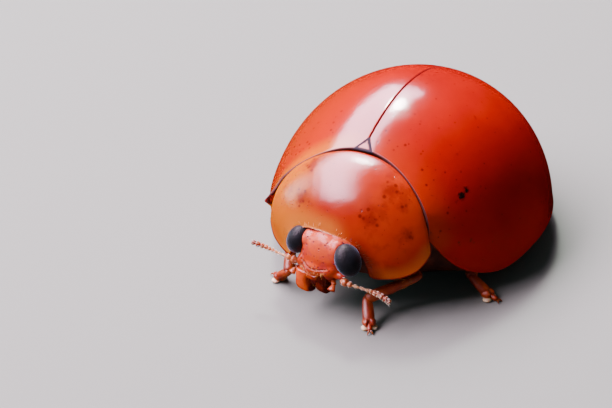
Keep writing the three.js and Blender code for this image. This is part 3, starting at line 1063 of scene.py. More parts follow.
def lay_scutellum(point, corners):
    """Takes a point of the grid to the triangle, and up to the dome."""
    left, right = (corner.lerp(corners[2], (point.y + 1) / 2) for corner in corners[:2])
    flat = left.lerp(right, (point.x + 1) / 2)
    angle = acos((DOME_Y - flat.y) / DOME_FRONT)
    rim = rim_sweep(flat.y)
    round_off = sqrt(1 - (flat.x / (HALF_WIDTH * sin(angle))) ** 2)
    rise = (on_dome(angle, pi / 2).z - rim) * round_off
    return Vector((flat.x, flat.y, rim + rise + TRIANGLE["lift"]))


def scutellum():
    high = box_mm("scutellum")[1]
    half_width, front_y = high.x - TRIANGLE["room"], base_y(0) - HIND_GAP
    tip = Vector((0, high.y - TRIANGLE["tip"]))
    corners = [Vector((-half_width, front_y)), Vector((half_width, front_y)), tip]
    cells, steps = TRIANGLE["cells"], TRIANGLE["side_steps"]
    bpy.ops.mesh.primitive_grid_add(x_subdivisions=cells, y_subdivisions=cells, size=2)
    piece = called("scutellum_plate")
    reshape(piece, lambda p: lay_scutellum(p, corners))
    places = [vertex.co.copy() for vertex in piece.data.vertices]
    pairs = zip(corners, [*corners[1:], corners[0]])
    sides = [a.lerp(b, step / steps) for a, b in pairs for step in range(steps + 1)]
    keep_distance(piece, "rim", [min(places, key=lambda p: (p.xy - point).length) for point in sides])
    modify(piece, "SOLIDIFY", thickness=TRIANGLE["thickness"], offset=-1)
    smooth(piece)
    done(piece, scutellum_finish(), "pronotum", "scutellum")


scutellum()

# %% [markdown]
# ## The head's own axes
# The head hangs in the arch and is turned to the beetle's right. Its two eyes show how: the line between
# their middles is its sideways axis. Everything on the head is modelled square to that, round the middle
# of the skull, and is turned into place at the end.

# %% Where the head is
EYE_PLACE = {"y": -0.11, "z": 0.18}  # from the middle of the skull
FACE_LEAN = {"by": 0.36, "from": 0.08, "most": 0.42}


def middle(node):
    return inside(node, 0.5, 0.5, 0.5)


eye_line = middle("eye_left") - middle("eye_right")
HEAD_TURN = atan2(eye_line.y, eye_line.x)
EYE = Vector((eye_line.length / 2, EYE_PLACE["y"], EYE_PLACE["z"]))  # the left eye
TO_HEAD = Matrix.Rotation(HEAD_TURN, 4, "Z")
HEAD_MIDDLE = (middle("eye_left") + middle("eye_right")) / 2 - TO_HEAD @ Vector((0, EYE.y, EYE.z))
ON_HEAD = Matrix.Translation(HEAD_MIDDLE) @ TO_HEAD


def leaning(z):
    """How far the face is off its middle line at this height, because it leans to the beetle's right."""
    return FACE_LEAN["by"] * min(FACE_LEAN["most"], max(0, FACE_LEAN["from"] - z))


def lean_aside(point):
    return point - Vector((leaning(point.z), 0, 0))


def set_on_head(piece):
    piece.matrix_world = ON_HEAD @ piece.matrix_world
    apply_place(piece)
    return piece


def ball(name, centre, radii, sides=32):
    """A ball drawn out to an ellipsoid, as a part of something larger."""
    bpy.ops.mesh.primitive_uv_sphere_add(segments=sides, ring_count=sides // 2, radius=1, location=centre)
    piece = called(name)
    piece.scale = radii
    apply_place(piece)
    return piece


print("the head is turned by", round(HEAD_TURN, 3), "round", [round(c, 2) for c in HEAD_MIDDLE])

# %% [markdown]
# ## Head: the finish
# The face is orange, painted pinker towards the top as a painted highlight and darker towards the bottom
# as painted shade. It has fine violet pricks, and a dark crease above the mouth, darkened as painted shade.

# %% Head finish
HEAD = {
    "deep": (0.42, 0.022, 0.0008),
    "bright": (0.48, 0.048, 0.002),
    "drift": (2.4, 3, 0.35, 0.65),
    "grain": ((22, 4, 0.004),),
    # painted highlight: pinker on the top of the face
    "brow": (0.5, 0.08, 0.03),
    # painted shade: darker on the lower face
    "mouth": (0.24, 0.026, 0.001),
    "cloud": (0.36, 0.03, 0.03),
    "prick": (0.1, 0.008, 0.02),
    # painted shade: darker in the crease above the mouth
    "crease": (0.13, 0.012, 0.006),
}
HEAD_GLOSS = {"Roughness": 0.3, "IOR": 1.4}
HEAD_LIGHT_AND_SHADE_LEVELS = {"brow": (0, 0.45), "mouth": (-0.06, -0.28)}  # heights above the middle of the skull
HEAD_SHARES = {"brow": 0.7, "mouth": 0.85, "cloud": 0.6, "prick": 0.9}
HEAD_CLOUDS, HEAD_CLOUD_LEVELS = (6, 4), (0.52, 0.62)
PRICKS, PRICK_DEPTH = (0.1, 0.03, 0.65), 0.008


def head_finish():
    orange = Finish("head_orange", **{**CUTICLE, **HEAD_GLOSS})
    orange.ground(HEAD)
    height, share = orange.maths("SUBTRACT", orange.along("Z"), HEAD_MIDDLE.z), HEAD_SHARES
    # painted highlight on the top of the face, and painted shade below it
    for part, levels in HEAD_LIGHT_AND_SHADE_LEVELS.items():
        orange.paint(HEAD[part], orange.ramp(height, *levels), share[part])
    orange.paint(HEAD["cloud"], orange.ramp(orange.noise(*HEAD_CLOUDS), *HEAD_CLOUD_LEVELS), share["cloud"])
    pricks = orange.pits(*PRICKS)
    orange.paint(HEAD["prick"], pricks, share["prick"])
    # painted shade in the crease above the mouth
    orange.paint(HEAD["crease"], orange.carried("crease"))
    orange.grain(HEAD)
    orange.press(orange.times(pricks, -1), PRICK_DEPTH)
    return orange.ready()


HEAD_ORANGE = head_finish()

# %% [markdown]
# ## Head: the skull
# A skull has no straight part to start from, so it is built as a sculptor builds it: balls are pushed
# together, the eye sockets are cut out, and the whole is remeshed to one even skin and smoothed. Then the
# face is flattened a little and the crease between face and mouth plate is pressed in.

# %% Balls of the skull and the eyes
SKULL = {
    "crown": ((0, 0.08, 0.1), (0.88, 0.42, 0.49)),
    "face": ((0, -0.1, 0.06), (0.62, 0.33, 0.52)),
    "cheek_left": ((0.35, -0.14, -0.2), (0.24, 0.26, 0.27)),
    "cheek_right": ((-0.35, -0.14, -0.2), (0.24, 0.26, 0.27)),
    "muzzle": ((0, -0.15, -0.24), (0.47, 0.32, 0.28)),
    "chin": ((0, 0.04, -0.38), (0.44, 0.32, 0.26)),
    "brow_left": ((0.37, -0.06, 0.28), (0.28, 0.27, 0.26)),
    "brow_right": ((-0.37, -0.06, 0.28), (0.28, 0.27, 0.26)),
    "jowl_left": ((0.31, -0.08, -0.4), (0.17, 0.24, 0.22)),
    "jowl_right": ((-0.31, -0.08, -0.4), (0.17, 0.24, 0.22)),
    "antenna_root": ((0.58, -0.17, -0.27), (0.22, 0.11, 0.1)),
}
EYE_RADII = (0.265, 0.31, 0.375)
EYE_TILT = radians(25)  # the eyes lean together at the top


def eye_ball(name, side, share=1.0):
    centre = Vector((EYE.x * side, EYE.y, EYE.z))
    piece = ball(name, centre, [radius * share for radius in EYE_RADII], 48)
    tilt = Matrix.Rotation(-EYE_TILT * side, 4, "Y")
    piece.matrix_world = Matrix.Translation(centre) @ tilt @ Matrix.Translation(-centre)
    apply_place(piece)
    return piece


# %% [markdown]
# The crease sags in the middle of the face, and it follows the face where that leans aside.

# %% Skull
SOCKET_ROOM = 0.98  # the size of a socket, as a share of its eye
SKULL_VOXELS = (0.02, 0.018)  # before and after the sockets are cut
CREASE = {"z": -0.11, "sag": 0.1, "width": 0.035, "depth": 0.03, "reach": 0.4, "dark": 0.85}
FACE = {"half_width": 0.6, "z": 0.15, "half_height": 0.5, "flattened": 0.05}


def crease_height(across):
    return CREASE["z"] - CREASE["sag"] * mound(across, 0, CREASE["reach"])


def crease_share(point):
    """One on the crease, falling to nothing at its width."""
    across = point.x + leaning(point.z)
    if point.y > 0 or abs(across) > CREASE["reach"]:
        return 0
    return fade(abs(point.z - crease_height(across)), CREASE["width"])


def press_face(point):
    if point.y > 0:
        return point
    flat = mound(point.x, 0, FACE["half_width"]) * mound(point.z, FACE["z"], FACE["half_height"])
    return point + Vector((0, FACE["flattened"] * flat + CREASE["depth"] * crease_share(point), 0))


def skull():
    piece = join("head_capsule", [ball(name, *place) for name, place in SKULL.items()])
    reshape(piece, lean_aside)
    fuse(piece, SKULL_VOXELS[0])
    for side in (1, -1):
        socket = eye_ball("socket", side, SOCKET_ROOM)
        modify(piece, "BOOLEAN", operation="DIFFERENCE", object=socket, solver="EXACT")
        bpy.data.objects.remove(socket)
    fuse(piece, SKULL_VOXELS[1], 14)
    reshape(piece, press_face)
    # how dark the painted shade in the crease is
    mark(piece, "crease", lambda place: crease_share(place) ** 2 * CREASE["dark"])
    done(set_on_head(piece), HEAD_ORANGE, "head", "head")


skull()

# %% [markdown]
# ## Eyes
# An eye is a black oval of many hundred lenses, too fine to see one by one, so they are bumps in its finish
# and the oval itself is plain and deep. The facets scatter a blue-grey sheen where they turn away.

# %% Eyes
EYE_BLACK = {"deep": (0.006, 0.007, 0.008), "bright": (0.011, 0.013, 0.017), "drift": (3, 2, 0.3, 0.7)}
EYE_GLOSS = {
    "Roughness": 0.45,
    "IOR": 1.5,
    "Specular_IOR_Level": 0.2,
    "Sheen_Weight": 0.55,
    "Sheen_Roughness": 0.3,
    "Sheen_Tint": (0.5, 0.72, 1, 1),
}
LENS = {"size": 0.028, "depth": 0.006}


def eye_finish():
    black = Finish("eye_black", **EYE_GLOSS)
    black.ground(EYE_BLACK)
    lens = black.add("TexVoronoi", {"Vector": black.mm, "Scale": 1 / LENS["size"]}).outputs["Distance"]
    black.press(black.times(lens, -1), LENS["depth"])
    return black.ready()


def eyes():
    black = eye_finish()
    for name, side in (("left", 1), ("right", -1)):
        piece = eye_ball("facets_" + name, side)
        weld(piece, 1e-5, outward=False)
        smooth(piece)
        done(set_on_head(piece), black, "eye", "eye_" + name)


eyes()

# %% [markdown]
# ## A lathe for joints
# Legs, antennae and mouth feelers are chains of small joints, each one round. So they are turned: half of
# the outline is drawn by extruding one vertex, and is spun round. The joint is made upright and then laid
# from one point to the other. Its flatness makes it thinner from top to bottom, as a beetle's legs are.

# %% Turned joints
UP = Vector((0, 0, 1))


def draw_outline(name, corners):
    """A chain of edges through [radius, height] points, from one vertex that is extruded along."""
    bpy.ops.mesh.primitive_plane_add(size=0.01)
    piece = called(name)
    with editing(piece):
        bpy.ops.mesh.select_mode(type="VERT")
        bpy.ops.mesh.select_all(action="SELECT")
        bpy.ops.mesh.merge(type="CENTER")
        bpy.ops.transform.translate(value=(corners[0][0], 0, corners[0][1]))
        for (r0, z0), (r1, z1) in zip(corners, corners[1:]):
            bpy.ops.mesh.extrude_region_move(TRANSFORM_OT_translate={"value": (r1 - r0, 0, z1 - z0)})
    return piece


def turned(name, start, end, outline, flat=1.0, sides=12):
    """A round joint from start to end. The outline is [share of the length, radius] pairs."""
    forward = end - start
    corners = [(0, outline[0][0] * forward.length)]
    corners += [(radius, share * forward.length) for share, radius in outline]
    corners += [(0, outline[-1][0] * forward.length)]
    piece = draw_outline(name, corners)
    with editing(piece, "SELECT"):
        bpy.ops.mesh.spin(steps=sides, angle=tau, center=(0, 0, 0), axis=UP)
    weld(piece)
    forward.normalize()
    side = forward.cross(UP).normalized()
    piece.scale = (1, flat, 1)
    apply_place(piece)
    turn = Matrix((side, forward.cross(side), forward)).transposed().to_4x4()
    piece.matrix_world = Matrix.Translation(start) @ turn
    apply_place(piece)
    return piece


# %% [markdown]
# ## Bristles
# A bristle is a thin bent spike with three sides. Hundreds of them are cheaper to write down as corners
# than to add one at a time, so one mesh holds all the bristles of a piece. Each bristle also gets its own
# small patch of the bake map, at its root's place.

# %% Bristles
BAKE_PATCH = 0.003
BAKE_SQUARE = ((0, 0), (1, 0), (1, 1), (0, 1))
BRISTLE_RINGS = ((-0.05, 1), (0.55, 0.7))  # shares of the length and of the thickness
SPIKE_FACES = ((0, 1, 4, 3), (3, 4, 6), (1, 2, 5, 4), (4, 5, 6), (2, 0, 3, 5), (5, 3, 6), (2, 1, 0))


def square_to(forward, turn):
    """The direction that stands square to a line, at a turn round it."""
    side = forward.orthogonal().normalized()
    return side * cos(turn) + forward.cross(side) * sin(turn)


def spike(point, direction, length, thickness, bend):
    """The seven corners of a bristle: two rings of three and the tip."""
    forward = direction.normalized()
    corners = []
    for share, width in BRISTLE_RINGS:
        sag = Vector((0, 0, -bend * length * max(0, share) ** 2))
        for step in range(3):
            around = square_to(forward, tau * step / 3)
            corners.append(point + forward * length * share + around * thickness * width + sag)
    return [*corners, point + forward * length + Vector((0, 0, -bend * length))]


def bake_map(mesh, patches):
    """Lays each face in a patch of the map round its bristle's place."""
    layer = mesh.uv_layers.new(name="OFBake")
    for face, (u, v) in zip(mesh.polygons, patches):
        for loop, (across, along) in zip(face.loop_indices, BAKE_SQUARE):
            layer.data[loop].uv = (u + across * BAKE_PATCH, v + along * BAKE_PATCH)


def bristles(name, roots, thickness, material, slot, bend=0.25):
    """One mesh of spikes. A root is a point, a direction, a length and a place on the bake map."""
    corners, faces, patches = [], [], []
    for point, direction, length, place in roots:
        faces += [[len(corners) + corner for corner in face] for face in SPIKE_FACES]
        corners += spike(point, direction, length, thickness, bend)
        patches += [place] * len(SPIKE_FACES)
    mesh = bpy.data.meshes.new(name)
    mesh.from_pydata(corners, [], faces)
    piece = bpy.data.objects.new(name, mesh)
    bpy.context.collection.objects.link(piece)
    bake_map(mesh, patches)
    done(piece, material, slot)


# %% [markdown]
# Bristles are gold on the face and the shins and pale on the antennae; beside the left eye they are brown,
# a brown that is painted shade. Their places are drawn by chance, from one seed, so that every run scatters
# them in the same way.

# %% Finishes of the bristles
BRISTLES = {
    "gold": {"deep": (0.45, 0.12, 0.012), "bright": (0.8, 0.38, 0.08)},
    "pale": {"deep": (0.75, 0.6, 0.42), "bright": (0.95, 0.88, 0.75)},
    # painted shade: the bristles beside the left eye, where shade falls
    "shade_brown": {"deep": (0.1, 0.012, 0.004), "bright": (0.3, 0.07, 0.015)},
}
HAIR = {"drift": (6, 2, 0.35, 0.65), "grain": ((60, 2, 0.002),)}
HAIR_GLOSS = {"Roughness": 0.45, "Subsurface_Weight": 0.2, "Subsurface_Scale": 0.05 * MM}


def bristle_finish(name, colours):
    hair = Finish(name, **HAIR_GLOSS)
    hair.ground({**HAIR, **colours})
    hair.grain(HAIR)
    return hair.ready()


BRISTLE = {name: bristle_finish("bristle_" + name, colours) for name, colours in BRISTLES.items()}
chance = random.Random(7)


def jitter(size):
    return Vector(chance.uniform(-size, size) for _ in range(3))


# %% [markdown]
# ## Horn
# The jaws, the limbs and the plates below are of one kind of horn in several colours, so one function
# makes all their finishes; the plates below are dark brown, darkened further as painted shade. Above the
# mouth lies the upper lip, brown. The right jaw is orange, as clear as the face; the left jaw is the same
# horn painted dark red as painted shade, and the gap between them is painted deep maroon as painted shade.

# %% Finishes of the mouth and limbs
HORN_DRIFT = (4, 0.38, 0.64)  # the detail of its clouds, and between which levels they lie
HORN = {"grain": ((24, 4, 0.004),), "pits": (0.09, 0.016, 0.5), "pit_depth": 0.005}
HORN_SHARES = {"pit": 0.5, "pit_colour": 0.3}


def horn_finish(name, deep, bright, grain, marks=None, **numbers):
    """Clear horn, darker in clouds, with a fine grain, and another colour where the mesh is marked."""
    horn = Finish(name, **{**CUTICLE, **numbers})
    horn.ground({"deep": deep, "bright": bright, "drift": (grain, *HORN_DRIFT)})
    dots = horn.pits(*HORN["pits"])
    horn.paint([part * HORN_SHARES["pit_colour"] for part in deep], dots, HORN_SHARES["pit"])
    for label, tint in (marks or {}).items():
        horn.paint(tint, horn.carried(label))
    horn.grain(HORN)
    horn.press(horn.times(dots, -1), HORN["pit_depth"])
    return horn.ready()


# painted shade between the jaws
GAP_SHADE_MAROON = {"gap": (0.035, 0.004, 0.003)}
BROWN = {"Roughness": 0.5, "IOR": 1.4}
DENSE = {"Subsurface_Weight": 0.1}
# painted shade: the left jaw is the same horn as the right one, painted dark where shade falls
JAW_SHADED_RED = horn_finish("jaw_shaded_red", (0.035, 0.003, 0.001), (0.1, 0.008, 0.002), 4, GAP_SHADE_MAROON)
JAW_ORANGE = horn_finish("jaw_orange", (0.4, 0.03, 0.002), (0.52, 0.075, 0.006), 4, GAP_SHADE_MAROON)
LIP_BROWN = horn_finish("lip_brown", (0.14, 0.01, 0.002), (0.3, 0.04, 0.005), 5)
# painted shade: the lower lip is coloured as the shade in the gap between the jaws
MOUTH_SHADE_MAROON = horn_finish("mouth_shade_maroon", (0.03, 0.004, 0.003), (0.12, 0.012, 0.008), 6, **DENSE)
LIMB_ORANGE = horn_finish("limb_orange", (0.2, 0.018, 0.001), (0.36, 0.06, 0.003), 3, Roughness=0.4)
# dark brown horn, darkened further as painted shade under the body
UNDERSIDE_BROWN_AND_SHADE = horn_finish("underside_brown_and_shade", (0.035, 0.006, 0.002), (0.085, 0.013, 0.003), 2, **BROWN)
PAD_PALE = horn_finish("pad_pale", (0.5, 0.32, 0.16), (0.8, 0.62, 0.4), 8, Roughness=0.6)
CLAW_BROWN = horn_finish("claw_brown", (0.1, 0.02, 0.006), (0.3, 0.08, 0.02), 6)

# %% [markdown]
# ## Mouth
# Two jaws close below the upper lip: broad blocks that narrow to a blunt tooth. A jaw is a small cube that
# grows by extruding its lower face twice, first wider and then narrower. The inner half of its tip is
# drawn out once more for the tooth, the edges are bevelled, and subdivision rounds it.

# %% Jaws
JAW_CUBE = {"place": (0.26, -0.29, -0.42), "size": (0.34, 0.28, 0.22)}
JAW_STEPS = (((0.02, -0.02, -0.15), (1.1, 0.95, 1)), ((-0.02, 0.01, -0.17), (0.84, 0.78, 1)))
TOOTH_STEP = ((-0.07, 0.02, -0.03), (1, 0.5, 0.45))
JAW_FLOOR, TIP = -0.52, {"x": 0.16, "z": -0.7}  # below these are the faces that are extruded
JAW_BEVEL = 0.04
JAW_SHIFT = {"left": (-0.03, 0.08, 0.05), "right": (0, 0, -0.05)}  # the left jaw is drawn in further
BOW = {"x": 0.28, "half_width": 0.18, "z": -0.55, "half_height": 0.34, "out": 0.06, "front": -0.3}
HOLLOW = {"x": 0.18, "width": 0.1, "half_height": 0.16, "in": 0.04}
# painted shade: the side where the jaws meet is painted deep maroon
JAW_GAP_SHADE = {"x": 0.13, "width": 0.05}  # where the jaw turns maroon, and how softly


def bow_jaw(point):
    """Bows the front of the jaw and hollows the side that meets the other jaw."""
    bow = mound(point.x, BOW["x"], BOW["half_width"]) * mound(point.z, BOW["z"], BOW["half_height"])
    hollow = mound(point.z, BOW["z"], HOLLOW["half_height"])
    hollow *= max(0, (HOLLOW["x"] - point.x) / HOLLOW["width"])
    forward = BOW["out"] * bow if point.y < BOW["front"] else 0
    return point + Vector((HOLLOW["in"] * hollow, -forward, 0))


def grow(move, size):
    bpy.ops.mesh.extrude_region_move(TRANSFORM_OT_translate={"value": move})
    bpy.ops.transform.resize(value=size)


def jaw(name, side, finish):
    bpy.ops.mesh.primitive_cube_add(size=1, location=JAW_CUBE["place"])
    piece = called("mandible_" + name)
    piece.scale = JAW_CUBE["size"]
    apply_place(piece)
    with editing(piece):
        pick(piece, lambda p: p.z < JAW_FLOOR)
        for step in JAW_STEPS:
            grow(*step)
        pick(piece, lambda p: p.x < TIP["x"] and p.z < TIP["z"])
        grow(*TOOTH_STEP)
        bpy.ops.mesh.select_all(action="SELECT")
        bpy.ops.mesh.bevel(offset=JAW_BEVEL, segments=2, affect="EDGES")
    smooth(piece, 2)
    reshape(piece, bow_jaw)
    # painted shade: the side where the jaws meet is painted deep maroon
    mark(piece, "gap", lambda place: clamp((JAW_GAP_SHADE["x"] - place.x) / JAW_GAP_SHADE["width"]))
    piece.scale.x = side
    piece.location = JAW_SHIFT[name]
    apply_place(piece)
    if side < 0:
        turn_inside_out(piece)
    reshape(piece, lean_aside)
    done(set_on_head(piece), finish, "mouth", "jaw_" + name)


jaw("left", 1, JAW_SHADED_RED)
jaw("right", -1, JAW_ORANGE)

# %% [markdown]
# The upper lip is a small plate with a rounded front edge: a cube that is subdivided, bowed back to both
# sides and inset on its front for a raised middle. The lower lip closes the gap between the jaws, and is
# painted deep maroon as the painted shade in that gap. Two balls, a chin and a tongue, are fused for it.

# %% Lips
LIP_CUBE = {"place": (0, -0.36, -0.41), "size": (0.4, 0.16, 0.14)}
LIP_BOW = {"back": 0.7, "up": 0.3}
LIP_PATCH = {"front": -0.37, "half_width": 0.17, "top": -0.37, "inset": 0.02, "out": 0.02}
LABIUM_VOXEL = 0.02
CHIN = ((0, -0.1, -0.56), (0.32, 0.24, 0.17))
TONGUE = ((0, -0.24, -0.6), (0.16, 0.14, 0.12))


def upper_lip():
    bpy.ops.mesh.primitive_cube_add(size=1, location=LIP_CUBE["place"])
    piece = called("labrum")
    piece.scale = LIP_CUBE["size"]
    apply_place(piece)
    with editing(piece, "SELECT"):
        bpy.ops.mesh.subdivide(number_cuts=4)
    reshape(piece, lambda p: p + Vector((0, LIP_BOW["back"], LIP_BOW["up"])) * p.x**2)
    with editing(piece):
        near = lambda p: p.y < LIP_PATCH["front"] and p.z < LIP_PATCH["top"]
        pick(piece, lambda p: near(p) and abs(p.x) < LIP_PATCH["half_width"])
        bpy.ops.mesh.inset(thickness=LIP_PATCH["inset"])
        bpy.ops.transform.translate(value=(0, -LIP_PATCH["out"], 0))
    smooth(piece, 2)
    reshape(piece, lean_aside)
    done(set_on_head(piece), LIP_BROWN, "head", "upper_lip")


def lower_lip():
    piece = join("labium", [ball("chin", *CHIN), ball("tongue", *TONGUE)])
    fuse(piece, LABIUM_VOXEL, 5)
    reshape(piece, lean_aside)
    done(set_on_head(piece), MOUTH_SHADE_MAROON, "mouth", "lower_lip")


upper_lip()
lower_lip()

# %% [markdown]
# ## Mouth feelers
# Beside each jaw hangs a feeler of three small joints and a last one that is wide and cut off aslant, like
# the head of an axe: the mark of the ladybirds. The axe head is a flattened cone, wide end out.

# %% Mouth feelers
FEELER_ROUTE = (
    (0.34, -0.12, -0.44),
    (0.45, -0.17, -0.45),
    (0.53, -0.22, -0.46),
    (0.58, -0.28, -0.49),
    (0.6, -0.4, -0.58),
)
FEELER_JOINT = ((0, 0.035), (0.15, 0.05), (0.7, 0.062), (0.92, 0.055), (1, 0.03))
AXE_HEAD = ((0, 0.035), (0.1, 0.05), (0.55, 0.08), (0.88, 0.1), (0.97, 0.095), (1, 0.075))
FEELER_FLAT = 0.7


def mouth_feeler(name, side):
    points = [Vector((x * side, y, z)) for x, y, z in FEELER_ROUTE]
    outlines = (FEELER_JOINT, FEELER_JOINT, FEELER_JOINT, AXE_HEAD)
    joints = zip(points, points[1:], outlines)
    piece = join("palp_" + name, [turned("joint", *joint, FEELER_FLAT) for joint in joints])
    smooth(piece)
    reshape(piece, lean_aside)
    done(set_on_head(piece), LIMB_ORANGE, "limb", "mouth_feeler_" + name)


mouth_feeler("left", 1)
mouth_feeler("right", -1)

# %% [markdown]
# ## Antennae
# An antenna has eleven joints: a stout first one, a ball, a thin stalk of six short ones, and a club of
# three. It follows a smooth line through five places in its solid's box. It is palest near its root and
# dark at its tip, so each joint is marked with how pale and how dark it is.

# %% The line and the joints of an antenna
LEFT_LINE = (
    (0.05, 0.37, 0.77),
    (0.29, 0.29, 0.74),
    (0.55, 0.48, 0.59),
    (0.76, 0.6, 0.44),
    (0.94, 0.65, 0.23),
)
RIGHT_LINE = (
    (0.96, 0.48, 0.27),
    (0.74, 0.41, 0.38),
    (0.5, 0.48, 0.45),
    (0.26, 0.52, 0.54),
    (0.04, 0.48, 0.62),
)
# From root to tip: where each joint ends along the line, and how thick, how pale and how dark it is.
JOINT_ENDS = (0, 0.15, 0.24, 0.36, 0.44, 0.51, 0.58, 0.65, 0.72, 0.81, 0.91, 1)
JOINT_RADII = (0.095, 0.066, 0.032, 0.03, 0.034, 0.044, 0.052, 0.058, 0.063, 0.068, 0.062)
JOINT_SHADES = {
    "pale": (0.2, 0.35, 0.85, 0.85, 0.8, 0.45, 0.25, 0.15, 0.05, 0, 0),
    "dark": (0, 0, 0, 0, 0, 0.05, 0.1, 0.15, 0.25, 0.4, 0.75),
}
SHADE_COLOURS = {"pale": (0.62, 0.3, 0.12), "dark": (0.12, 0.012, 0.004)}
ANTENNA_ORANGE = horn_finish(
    "antenna_orange", (0.3, 0.04, 0.004), (0.5, 0.12, 0.015), 5, SHADE_COLOURS, Roughness=0.36
)
BEAD_OUTLINE = ((0.02, 0.45), (0.15, 0.62), (0.6, 0.95), (0.82, 1.0), (0.95, 0.8), (1.02, 0.4))


def smooth_line(points, share):
    """A point of the smooth curve through some points, at a share of the way."""
    at = min(len(points) - 2, int(share * (len(points) - 1)))
    t = share * (len(points) - 1) - at
    a, b = points[at], points[at + 1]
    before = points[at - 1] if at else a * 2 - b
    after = points[at + 2] if at + 2 < len(points) else b * 2 - a
    places = a * (2 * t**3 - 3 * t**2 + 1) + b * (3 * t**2 - 2 * t**3)
    slopes = (b - before) / 2 * (t**3 - 2 * t**2 + t) + (after - a) / 2 * (t**3 - t**2)
    return places + slopes


# %% [markdown]
# Short bristles stand round every joint. They lie along it and lean towards its tip.

# %% Antennae
RING = {"fewest": 6, "along": (0.1, 0.8), "sunk": 0.85, "out": 0.45, "length": (0.045, 0.075)}
FINE, ALMOST_STRAIGHT = 0.0055, 0.1  # the thickness and the bend of a bristle
RING_MAP = {"first": 0.05, "joint": 0.08, "along": 0.06, "round": 0.9}  # their places on the bake map


def ring_of_bristles(start, end, index):
    """The bristles round one joint."""
    forward = (end - start).normalized()
    count = RING["fewest"] + index
    roots = []
    for step in range(count):
        turn = tau * (step + chance.random()) / count
        along = chance.uniform(*RING["along"])
        out = square_to(forward, turn)
        point = start.lerp(end, along) + out * JOINT_RADII[index] * RING["sunk"]
        length = chance.uniform(*RING["length"])
        across = RING_MAP["first"] + RING_MAP["joint"] * index + RING_MAP["along"] * along
        roots.append((point, out * RING["out"] + forward, length, (across, turn / tau * RING_MAP["round"])))
    return roots


def antenna(name, places):
    line = [inside("antenna_" + name, *shares) for shares in places]
    ends = [smooth_line(line, share) for share in JOINT_ENDS]
    parts, roots = [], []
    for index, (start, end) in enumerate(zip(ends, ends[1:])):
        outline = [(share, width * JOINT_RADII[index]) for share, width in BEAD_OUTLINE]
        parts.append(turned("joint", start, end, outline))
        for label, shades in JOINT_SHADES.items():
            mark(parts[-1], label, lambda _: shades[index])
        roots += ring_of_bristles(start, end, index)
    piece = join("antenna_joints_" + name, parts)
    smooth(piece)
    done(piece, ANTENNA_ORANGE, "limb", "antenna_" + name)
    bristles("antenna_bristles_" + name, roots, FINE, BRISTLE["pale"], "limb", ALMOST_STRAIGHT)


antenna("left", LEFT_LINE)
antenna("right", RIGHT_LINE)

# %% [markdown]
# ## Under the shield
# The first ring of the thorax fills the shield from below and carries the front legs. It is hardly seen,
# but from low down it closes the neck. Again a few balls are pushed together: the ring, a keel between the
# front legs and the neck behind the head. The ring's underside is flattened, and it is cut off where the
# wing cases begin.

# %% Prothorax
RING_BALL = (SHIELD + Vector((0, 0.05, -0.02)), SHIELD_REACH - Vector((0.16, 0.16, 0.16)))
NECK_BALL = ((-0.1, -2.72, 1.4), (0.86, 0.36, 0.52))
KEEL_Y, KEEL_RADII = -2.1, (0.26, 0.55, 0.36)
KEEL_HEIGHT, BELLY_HEIGHT = 0.42, 0.36  # above the lowest point of the solid
RING_VOXELS, RING_BACK = (0.04, 0.035), 0.14
BELLY_ROUND = 0.12  # what is left of the roundness below that
MARGIN_ROOM = {"above": 0.12, "over": 0.3, "narrow": 0.22}  # keeps clear of the shield's side margins
FACE_WALL = {"y": -2.86, "slope": 0.25, "from_x": 0.8, "to_x": 1.8}  # keeps out of the arch over the head


def under_shield(point):
    room = margin_height(point.y) + MARGIN_ROOM["above"]
    narrow = 1 - MARGIN_ROOM["narrow"] * clamp((room - point.z) / MARGIN_ROOM["over"])
    y = point.y
    if abs(point.x) < FACE_WALL["to_x"]:
        y = max(y, FACE_WALL["y"] + FACE_WALL["slope"] * max(0, abs(point.x) - FACE_WALL["from_x"]))
    return Vector((point.x * narrow, y, point.z))


def prothorax():
    low, high = box_mm("prothorax")
    piece = join("prothorax_ring", [ball("ring", *RING_BALL, 48), ball("neck", *NECK_BALL)])
    fuse(piece, RING_VOXELS[0])
    under = low.z + BELLY_HEIGHT
    reshape(piece, lambda p: Vector((p.x, p.y, under + (p.z - under) * BELLY_ROUND)) if p.z < under else p)
    with editing(piece, "SELECT"):
        cut = (0, high.y - RING_BACK, 0)
        bpy.ops.mesh.bisect(plane_co=cut, plane_no=(0, 1, 0), clear_outer=True, use_fill=True)
    keel = ball("keel", (0, KEEL_Y, low.z + KEEL_HEIGHT), KEEL_RADII)
    piece = join("prothorax_ring", [piece, keel])
    fuse(piece, RING_VOXELS[1], 8)
    reshape(piece, under_shield)
    done(piece, UNDERSIDE_BROWN_AND_SHADE, "underside", "prothorax")


prothorax()

# %% [markdown]
# ## Under the wing cases
# The rest of the trunk is one body with a seam behind the hind legs. It fills the dome with room to spare
# and has a low arched belly, and a ridge fills the slit between the two wing cases. A sphere with its
# poles in front and behind gives it.

# %% The shape of the trunk
TRUNK_ROOM = {"rim": 0.24, "seam": 0.1}  # the room below the wing cases at the rim, and what the top adds
RIDGE = {"height": 0.25, "half_width": radians(4)}
BELLY_LOW = box_mm("thorax")[0].z - 0.03
TRUNK_START = 0.03  # how far behind the front edge it begins, as an angle
BELLY_POWER = 0.8  # below one, it makes the belly flatter than an ellipse


